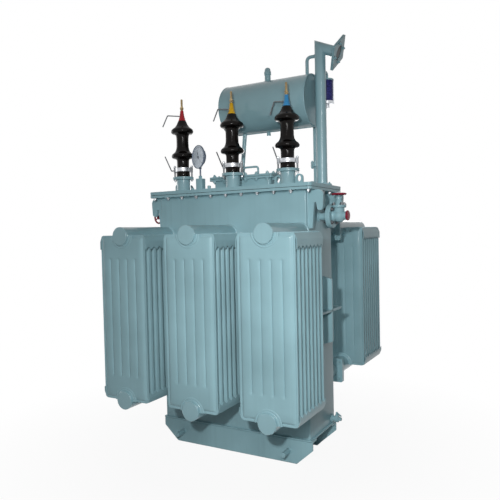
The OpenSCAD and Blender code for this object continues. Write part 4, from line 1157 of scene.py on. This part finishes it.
def stageFloor():
    size = 60
    square = [(-size, -size, 0), (size, -size, 0), (size, size, 0), (-size, size, 0)]
    mesh = bpy.data.meshes.new("floor")
    mesh.from_pydata(square, [], [(0, 1, 2, 3)])
    floor = link("floor", mesh)
    material = bpy.data.materials.new("paleFloor")
    material.use_nodes = True
    tree = material.node_tree
    start = Wire(tree)
    tree.nodes.remove(tree.nodes["Principled BSDF"])
    dull = start.node("ShaderNodeBsdfDiffuse", {"Color": (0.60, 0.60, 0.60, 1)})
    white = start.node("ShaderNodeEmission", {"Color": (1, 1, 1, 1), "Strength": 1.0})
    place = start.node("ShaderNodeTexCoord", out="Object")
    away = start.node("ShaderNodeVectorMath", {0: place}, "Value", operation="LENGTH").ramp(0.7, 1.9)
    shown = seenRays(tree) * (0.93 + away * 0.07)
    mixed = start.node("ShaderNodeMixShader", {0: shown, 1: dull, 2: white})
    mixed.into(tree.nodes["Material Output"], "Surface")
    mesh.materials.append(material)


def stageWorld(level):
    world = bpy.data.worlds.new("studio")
    scene.world = world
    world.use_nodes = True
    back = world.node_tree.nodes["Background"]
    back.inputs["Color"].default_value = (1, 1, 1, 1)
    (seenRays(world.node_tree) * (1 - level) + level).into(back, "Strength")


def aimLamp(name, data, place, target, power):
    data.energy = power
    made = link(name, data)
    made.location = place
    made.rotation_euler = (Vector(target) - Vector(place)).to_track_quat("-Z", "Y").to_euler()


def softBox(name, place, target, size, power):
    data = bpy.data.lights.new(name, "AREA")
    data.shape = "RECTANGLE"
    data.size, data.size_y = size
    aimLamp(name, data, place, target, power)


def flash(name, place, target, spread, size, power):
    data = bpy.data.lights.new(name, "SPOT")
    data.spot_size, data.spot_blend, data.shadow_soft_size = math.radians(spread), 1.0, size
    aimLamp(name, data, place, target, power)


stageFloor()
stageWorld(0.06)
flash("keyLight", (1.36, -2.95, 1.6), (0.55, -0.45, 1.0), spread=64, size=0.05, power=192)
softBox("tallStrip", (1.3, -3.1, 2.35), (0.3, -0.2, 1.5), size=(0.10, 1.7), power=6)
softBox("nearFill", (2.0, -2.85, 2.0), (0.6, -0.4, 0.8), size=(0.7, 0.7), power=23)
softBox("rimLight", (3.2, 4.2, 3.6), (0, 0.3, 1.3), size=(2.5, 2.5), power=3)
softBox("backFill", (-1.4, 4.4, 2.0), (0, 0.4, 1.0), size=(2.5, 2.5), power=60)
softBox("leftFill", (-4.2, 0.2, 1.7), (0, 0.2, 1.0), size=(2.5, 2.5), power=40)

shot = {
    "place": (1.652, -2.894, 1.268), "lens": 40.08, "sensor": 36, "right": (0.87308, 0.48708, -0.02203),
    "up": (0.00348, 0.03895, 0.99924), "back": (0.48757, -0.87249, 0.03231)}
camera = link("camera", bpy.data.cameras.new("camera"))
camera.data.sensor_width, camera.data.lens = shot["sensor"], shot["lens"]
axes = Matrix([Vector(shot[way]).normalized() for way in ("right", "up", "back")])
camera.matrix_world = Matrix.Translation(shot["place"]) @ axes.transposed().to_4x4()
scene.camera = camera
scene.view_settings.view_transform = "Standard"
print("stage set")
